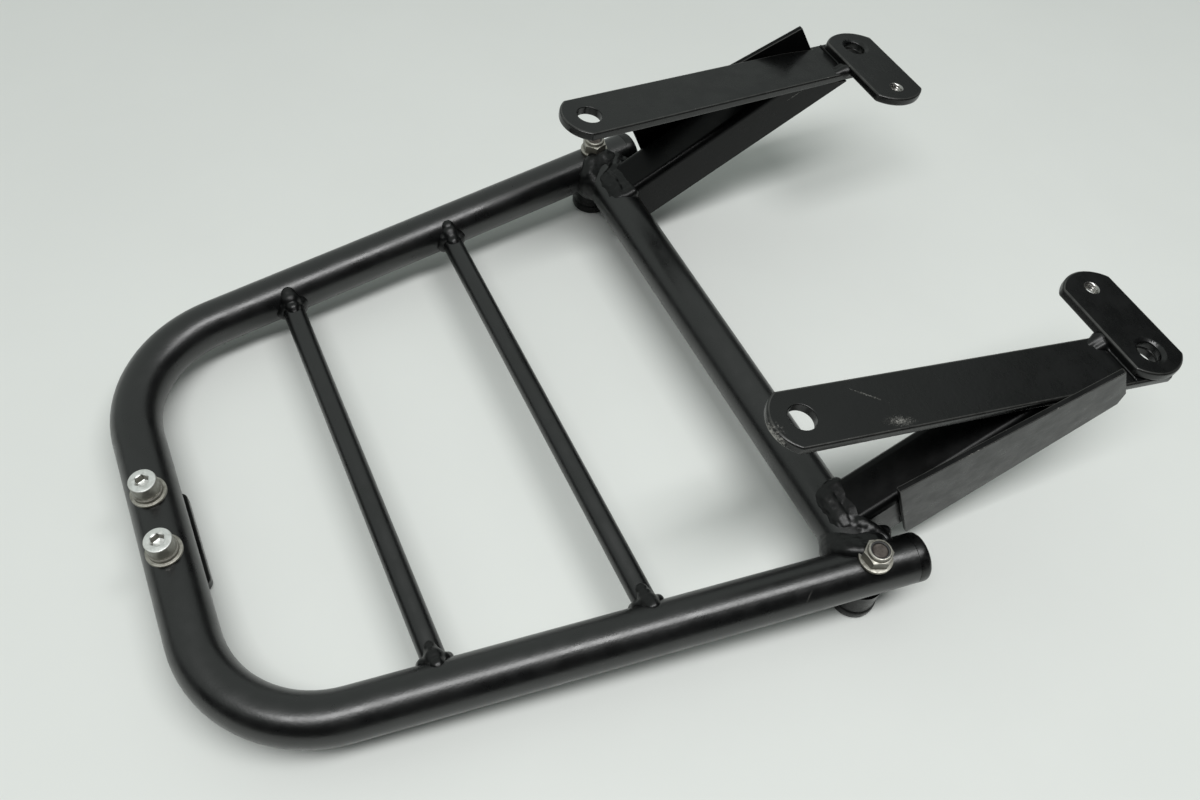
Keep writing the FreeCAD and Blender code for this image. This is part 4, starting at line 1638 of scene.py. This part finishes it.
@dataclass
class FootSet:
    """Feet under the arms with their bolts, washers, lock nuts and nylon rings.

    Rows are insets and rises in millimetres.
    """

    foot: float = 12.0 * MM
    recess: float = 8.0 * MM
    recess_depth: float = 8.0 * MM
    foot_bore: float = 4.4 * MM
    foot_overlap: float = 1.5 * MM
    foot_waist: float = 0.9 * MM
    recess_rows: Rows = ((0.0, 0.5), (-0.4, 0.0))
    foot_rows: Rows = (
        (1.6, 0.0),
        (0.7, 0.25),
        (0.2, 0.8),
        (0.0, 1.6),
        (0.0, 4.6),
        (0.2, 5.3),
        (0.75, 5.9),
        (0.9, 7.0),
    )
    shank: float = 4.0 * MM
    washer: float = 8.5 * MM
    washer_play: float = 0.2 * MM
    across: float = 13.0 * MM
    nut_face: float = 0.985
    nut_turns: Span = (0.3, 0.62)
    hex_height: float = 5.8 * MM
    collar: float = 5.9 * MM
    nut_height: float = 8.0 * MM
    neck_rows: Rows = ((-0.1, 0.05), (0.0, 0.3))
    collar_rows: Rows = ((0.0, -0.9), (0.15, -0.4), (0.55, -0.08), (1.0, 0.0))
    ring_seat: float = 4.8 * MM
    seat_rows: Rows = ((-0.05, -0.12), (0.0, -0.4), (0.0, -1.8))
    nut_play: float = 0.05 * MM
    insert_low: float = 1.8 * MM
    insert_high: float = 0.45 * MM
    insert_rows: Rows = ((0.0, 0.0), (0.4, 0.05))
    insert_play: float = 0.02 * MM
    insert_slope: float = 0.25 * MM
    bolt_face: float = 0.98
    bolt_turns: Span = (0.2, 0.5)
    bolt_end: float = 7.4 * MM
    bolt_head: float = 5.3 * MM
    dish: float = 4.6 * MM
    dish_depth: float = 0.25 * MM
    dish_rows: Rows = ((0.4, 0.25), (0.0, 0.0))
    head_soft: float = 0.05 * MM
    tip: float = 1.4 * MM
    tip_rows: Rows = ((0.0, -0.9), (0.35, -0.25), (0.75, -0.02))
    tip_drops: Span = (0.12 * MM, 0.16 * MM)

    def nut_mesh(self) -> Mesh:
        """The lock nut, standing on height 0.

        Returns:
            The mesh.
        """
        flat = self.across / 2.0 * self.nut_face
        hole = self.shank + self.nut_play
        rings = [
            *circles((hole, 0.0), (flat, 0.0)),
            partial(chamfered, self.across, flat, 0.0, 1.0),
            partial(chamfered, self.across, flat, self.hex_height, -1.0),
            flat_ring(flat, self.hex_height),
            *turned(self.collar, self.hex_height, self.neck_rows),
            *turned(self.collar, self.nut_height, self.collar_rows),
            *turned(self.ring_seat, self.nut_height, self.seat_rows),
            flat_ring(hole, self.nut_height - self.insert_low),
        ]
        return ring_loft(rings, FINE_STEPS, closed=True)

    def insert_mesh(self) -> Mesh:
        """The nylon ring in the nut's collar, from the nut's height 0.

        Returns:
            The mesh.
        """
        low, high = self.nut_height - self.insert_low, self.nut_height - self.insert_high
        hole = self.shank + self.insert_play
        rings = [
            *circles((hole, low), (self.ring_seat, low)),
            *turned(self.ring_seat, high, self.insert_rows),
            flat_ring(hole, high - self.insert_slope),
        ]
        return ring_loft(rings, closed=True)

    def bolt_mesh(self) -> Mesh:
        """The bolt, its head's upper side at height 0 and its end up.

        Returns:
            The mesh.
        """
        run = PLAN.foot_height - self.recess_depth + 2.0 * PLAN.tube_radius
        run = run + PLAN.washer_thickness + self.bolt_end
        flat = self.across / 2.0 * self.bolt_face
        low = -self.bolt_head
        rings = [
            flat_ring(0.0, low + self.dish_depth),
            *turned(self.dish, low, self.dish_rows),
            flat_ring(flat, low),
            partial(chamfered, self.across, flat, low, 1.0),
            six_ring(self.across, -self.head_soft),
            flat_ring(self.shank, 0.0),
            *turned(self.shank, run, self.tip_rows),
            *circles((self.tip, run - self.tip_drops[0]), (0.0, run - self.tip_drops[1])),
        ]
        return ring_loft(rings, FINE_STEPS)

    def foot_mesh(self) -> Mesh:
        """The foot, standing on height 0, with a rim, a waist and a recess below.

        Returns:
            The mesh.
        """
        top = PLAN.foot_height
        rings = [
            *circles((self.foot_bore, top), (self.foot_bore, self.recess_depth)),
            flat_ring(self.recess, self.recess_depth),
            *turned(self.recess, 0.0, self.recess_rows),
            *turned(self.foot, 0.0, self.foot_rows),
            flat_ring(self.foot - self.foot_waist, top + self.foot_overlap),
            flat_ring(self.foot_bore, top + self.foot_overlap),
        ]
        return ring_loft(rings, closed=True)

    def dress(self, repeat: Repeater, finishes: Finishes) -> None:
        """Make the feet and what holds them.

        Args:
            repeat: the repeating tree.
            finishes: the rack's finishes.
        """
        spots = partial(both_sides, PLAN.cross_forward, PLAN.arm_spacing)
        crest = PLAN.cross_height + PLAN.tube_radius
        seat = crest + PLAN.washer_thickness
        flat = washer_mesh(self.washer, self.shank + self.washer_play, PLAN.washer_thickness)
        washers = repeat.make("foot_flat_washers", flat, spots(crest), finishes.aged)
        adopt(washers, Slot.ZINC, "foot_washers")
        nuts = repeat.make("foot_lock_nuts", self.nut_mesh(), spots(seat, self.nut_turns), finishes.aged)
        adopt(nuts, Slot.ZINC, "lock_nuts")
        inserts = repeat.make("lock_nut_rings", self.insert_mesh(), spots(seat), finishes.nylon)
        adopt(inserts, Slot.NYLON, "nut_inserts")
        places = spots(self.recess_depth, self.bolt_turns)
        bolts = repeat.make("foot_hex_bolts", self.bolt_mesh(), places, finishes.stained)
        adopt(bolts, Slot.STEEL, "foot_bolts")
        feet = repeat.make("rubber_feet", self.foot_mesh(), spots(0.0), finishes.rubber)
        adopt(feet, Slot.RUBBER, "left_foot", "right_foot")


@dataclass
class EndPlugs:
    """Plastic plugs in the arms' open ends.

    Rows are insets and rises in millimetres.
    """

    rim: float = 6.5 * MM
    shank: float = 12.0 * MM
    wall: float = 2.0 * MM
    seat: float = 0.05 * MM
    shank_rows: Rows = ((0.6, 0.0), (0.0, 0.8))
    lower_rows: Rows = ((0.45, 0.05), (0.1, 0.25), (0.0, 0.6))
    rim_rows: Rows = ((0.0, -2.0), (0.3, -1.1), (0.9, -0.4), (1.8, -0.05), (2.6, 0.0))

    def mesh(self) -> Mesh:
        """The plug along Z, its rim from height 0 up.

        Returns:
            The mesh.
        """
        wide, fit = PLAN.tube_radius, PLAN.tube_radius - self.wall
        rings = [
            flat_ring(0.0, -self.shank),
            *turned(fit, -self.shank, self.shank_rows),
            flat_ring(fit, self.seat),
            *turned(wide, 0.0, self.lower_rows),
            *turned(wide, self.rim, self.rim_rows),
            flat_ring(0.0, self.rim),
        ]
        return ring_loft(rings)

    def dress(self, repeat: Repeater, finishes: Finishes) -> None:
        """Make both plugs.

        Args:
            repeat: the repeating tree.
            finishes: the rack's finishes.
        """
        places = []
        for side in Side:
            splay = Matrix.Rotation(side.value * PLAN.arm_splay, 4, "Z")
            along = splay @ Matrix.Rotation(math.pi / 2.0, 4, "Y")
            places.append(Matrix.Translation(PLAN.arm_line(side, PLAN.arm_overhang)) @ along)
        plugs = repeat.make("tube_end_plugs", self.mesh(), places, finishes.plastic)
        adopt(plugs, Slot.PLASTIC, "left_end_plug", "right_end_plug")


@dataclass
class TappedHoles:
    """Bright screw threads and flares in the end plates' tapped holes."""

    root: float = 3.42 * MM
    crest: float = 2.95 * MM
    pitch: float = 1.25 * MM
    bore: float = 3.4 * MM
    depth: float = 2.7 * MM
    start: float = 0.9 * MM
    skin: float = 0.15 * MM
    flare: float = 1.3 * MM
    film: float = 0.04 * MM
    rows: int = 48
    steps: int = 72
    flare_degrees: tuple[float, ...] = (5.0, 20.0, 35.0, 50.0, 65.0, 80.0)

    def thread_point(self, height: float, angle: float) -> Span:
        """The thread's wall at one height: a triangle wave that climbs one pitch a turn.

        Args:
            height: the height.
            angle: the angle round the hole.

        Returns:
            The wall's radius and height.
        """
        phase = (height / self.pitch - angle / FULL_TURN) % 1.0
        wave = abs(2.0 * phase - 1.0)
        return (self.crest + (self.root - self.crest) * wave, height)

    def mesh(self) -> Mesh:
        """The thread's helical wall along Z, up from height 0, and the flare over it.

        Returns:
            The mesh.
        """
        heights = [self.depth * row / (self.rows - 1.0) for row in range(self.rows)]
        rings: list[Ring] = [partial(self.thread_point, height) for height in heights]
        centre = PLAN.end_plate_thickness - self.start - self.flare
        wide = self.bore + self.flare
        turns = [math.radians(degrees) for degrees in self.flare_degrees]
        for reach, way in ((self.flare + self.film, turns), (self.flare - self.skin, turns[::-1])):
            for turn in way:
                rings.append(flat_ring(wide - reach * math.cos(turn), centre + reach * math.sin(turn)))
        rings.append(flat_ring(self.root + self.skin, 0.0))
        return ring_loft(rings, self.steps, closed=True)

    def dress(self, repeat: Repeater, finishes: Finishes) -> None:
        """Line both tapped holes.

        Args:
            repeat: the repeating tree.
            finishes: the rack's finishes.
        """
        places = []
        for side in Side:
            shift = Matrix.Translation((0.0, -side.value * PLAN.thread_aside, self.start))
            places.append(PLAN.end_plate_frame(side) @ shift)
        threads = repeat.make("tapped_hole_threads", self.mesh(), places, finishes.bright)
        adopt(threads, Slot.STEEL)


@dataclass
class Studio:
    """The pale floor, the soft light and the camera at the photograph's angle."""

    eye: Point = (-0.17470, -0.28159, 0.47681)
    right: Point = (0.897816, -0.435718, 0.063841)
    up: Point = (0.324287, 0.752245, 0.573555)
    back: Point = (-0.297932, -0.494245, 0.816675)
    lens: float = 30.035
    sensor: float = 36.0
    clip: Span = (0.01, 60.0)
    floor_reach: float = 14.0
    floor_sunk: float = 0.3 * MM
    rest_rise: float = 12.5 * MM
    floor_tone: Point = (0.765, 0.785, 0.76)
    floor_shade: float = 0.975
    floor_cloud: Mottle = Mottle(5.0, 5.0, 0.6)
    floor_rough: float = 0.6
    floor_specular: float = 0.25
    lamp_place: Point = (0.0, -0.40, 1.72)
    lamp_size: Span = (2.04, 0.44)
    lamp_power: float = 26.0
    sky_axis: Point = (-0.1, 0.55, 0.85)
    sky_edge: Span = (0.45, 0.60)
    sky_bright: Point = (0.46, 0.498, 0.476)
    sky_dark: Point = (0.03, 0.031, 0.032)

    def camera(self) -> None:
        """Stand the camera where the photograph was taken."""
        data = bpy.data.cameras.new("photo_camera")
        data.lens = self.lens
        data.sensor_width = self.sensor
        data.clip_start, data.clip_end = self.clip
        made = bpy.data.objects.new("photo_camera", data)
        columns = (self.right, self.up, self.back)
        turn = Matrix([[column[row] for column in columns] for row in range(3)])
        made.matrix_world = Matrix.Translation(self.eye) @ turn.to_4x4()
        bpy.context.scene.collection.objects.link(made)
        bpy.context.scene.camera = made

    def floor(self) -> None:
        """Lay the pale floor that the feet and the rear screws rest on."""
        bench = ShaderBench("pale_floor")
        low, high = solid(self.floor_tone, self.floor_shade), solid(self.floor_tone)
        inputs = {"Base Color": bench.blend(bench.mottle(self.floor_cloud), low, high)}
        inputs["Roughness"] = self.floor_rough
        inputs["Specular IOR Level"] = self.floor_specular
        reach = self.floor_reach
        slope = self.rest_rise / PLAN.rear_bar_back
        corners = []
        for x, y in ((-reach, -reach), (reach, -reach), (reach, reach), (-reach, reach)):
            corners.append((x, y, (PLAN.cross_forward - x) * slope - self.floor_sunk))
        mesh = bpy.data.meshes.new("floor")
        mesh.from_pydata(corners, [], [(0, 1, 2, 3)])
        mesh.materials.append(bench.coated(inputs))
        add_object("floor", mesh)

    def light(self) -> None:
        """Hang a long soft lamp over the rack, under a sky that is bright overhead and behind."""
        data = bpy.data.lights.new("long_lamp", "AREA")
        data.shape = "RECTANGLE"
        data.size, data.size_y = self.lamp_size
        data.energy = self.lamp_power
        lamp = bpy.data.objects.new("long_lamp", data)
        lamp.location = self.lamp_place
        bpy.context.scene.collection.objects.link(lamp)
        world = bpy.data.worlds.new("soft_room")
        world.use_nodes = True
        bench = NodeBench(world.node_tree)
        place = bench.node("ShaderNodeTexCoord").outputs["Generated"]
        inputs = {0: place, 1: Vector(self.sky_axis).normalized()}
        along = bench.node("ShaderNodeVectorMath", inputs, operation="DOT_PRODUCT").outputs["Value"]
        tone = bench.blend(bench.span(along, *self.sky_edge), solid(self.sky_dark), solid(self.sky_bright))
        glow = bench.node("ShaderNodeBackground", {"Color": tone}).outputs["Background"]
        bench.node("ShaderNodeOutputWorld", {"Surface": glow})
        bpy.context.scene.world = world

    def build(self) -> None:
        """Set up the whole studio."""
        bpy.context.scene.view_settings.view_transform = "Standard"
        self.camera()
        self.floor()
        self.light()


def main() -> None:
    """Load the frame and build every piece in order."""
    logging.basicConfig(level=logging.INFO, format="%(name)s: %(message)s")
    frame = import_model()
    Studio().build()
    finishes = Finishes()
    repeat = Repeater()
    Tubework().dress(frame, finishes)
    PlateWork().dress(frame, finishes)
    WeldWork().dress(BeadMaker(), finishes)
    RearScrews().dress(repeat, finishes)
    FootSet().dress(repeat, finishes)
    EndPlugs().dress(repeat, finishes)
    TappedHoles().dress(repeat, finishes)


if __name__ == "__main__":
    main()
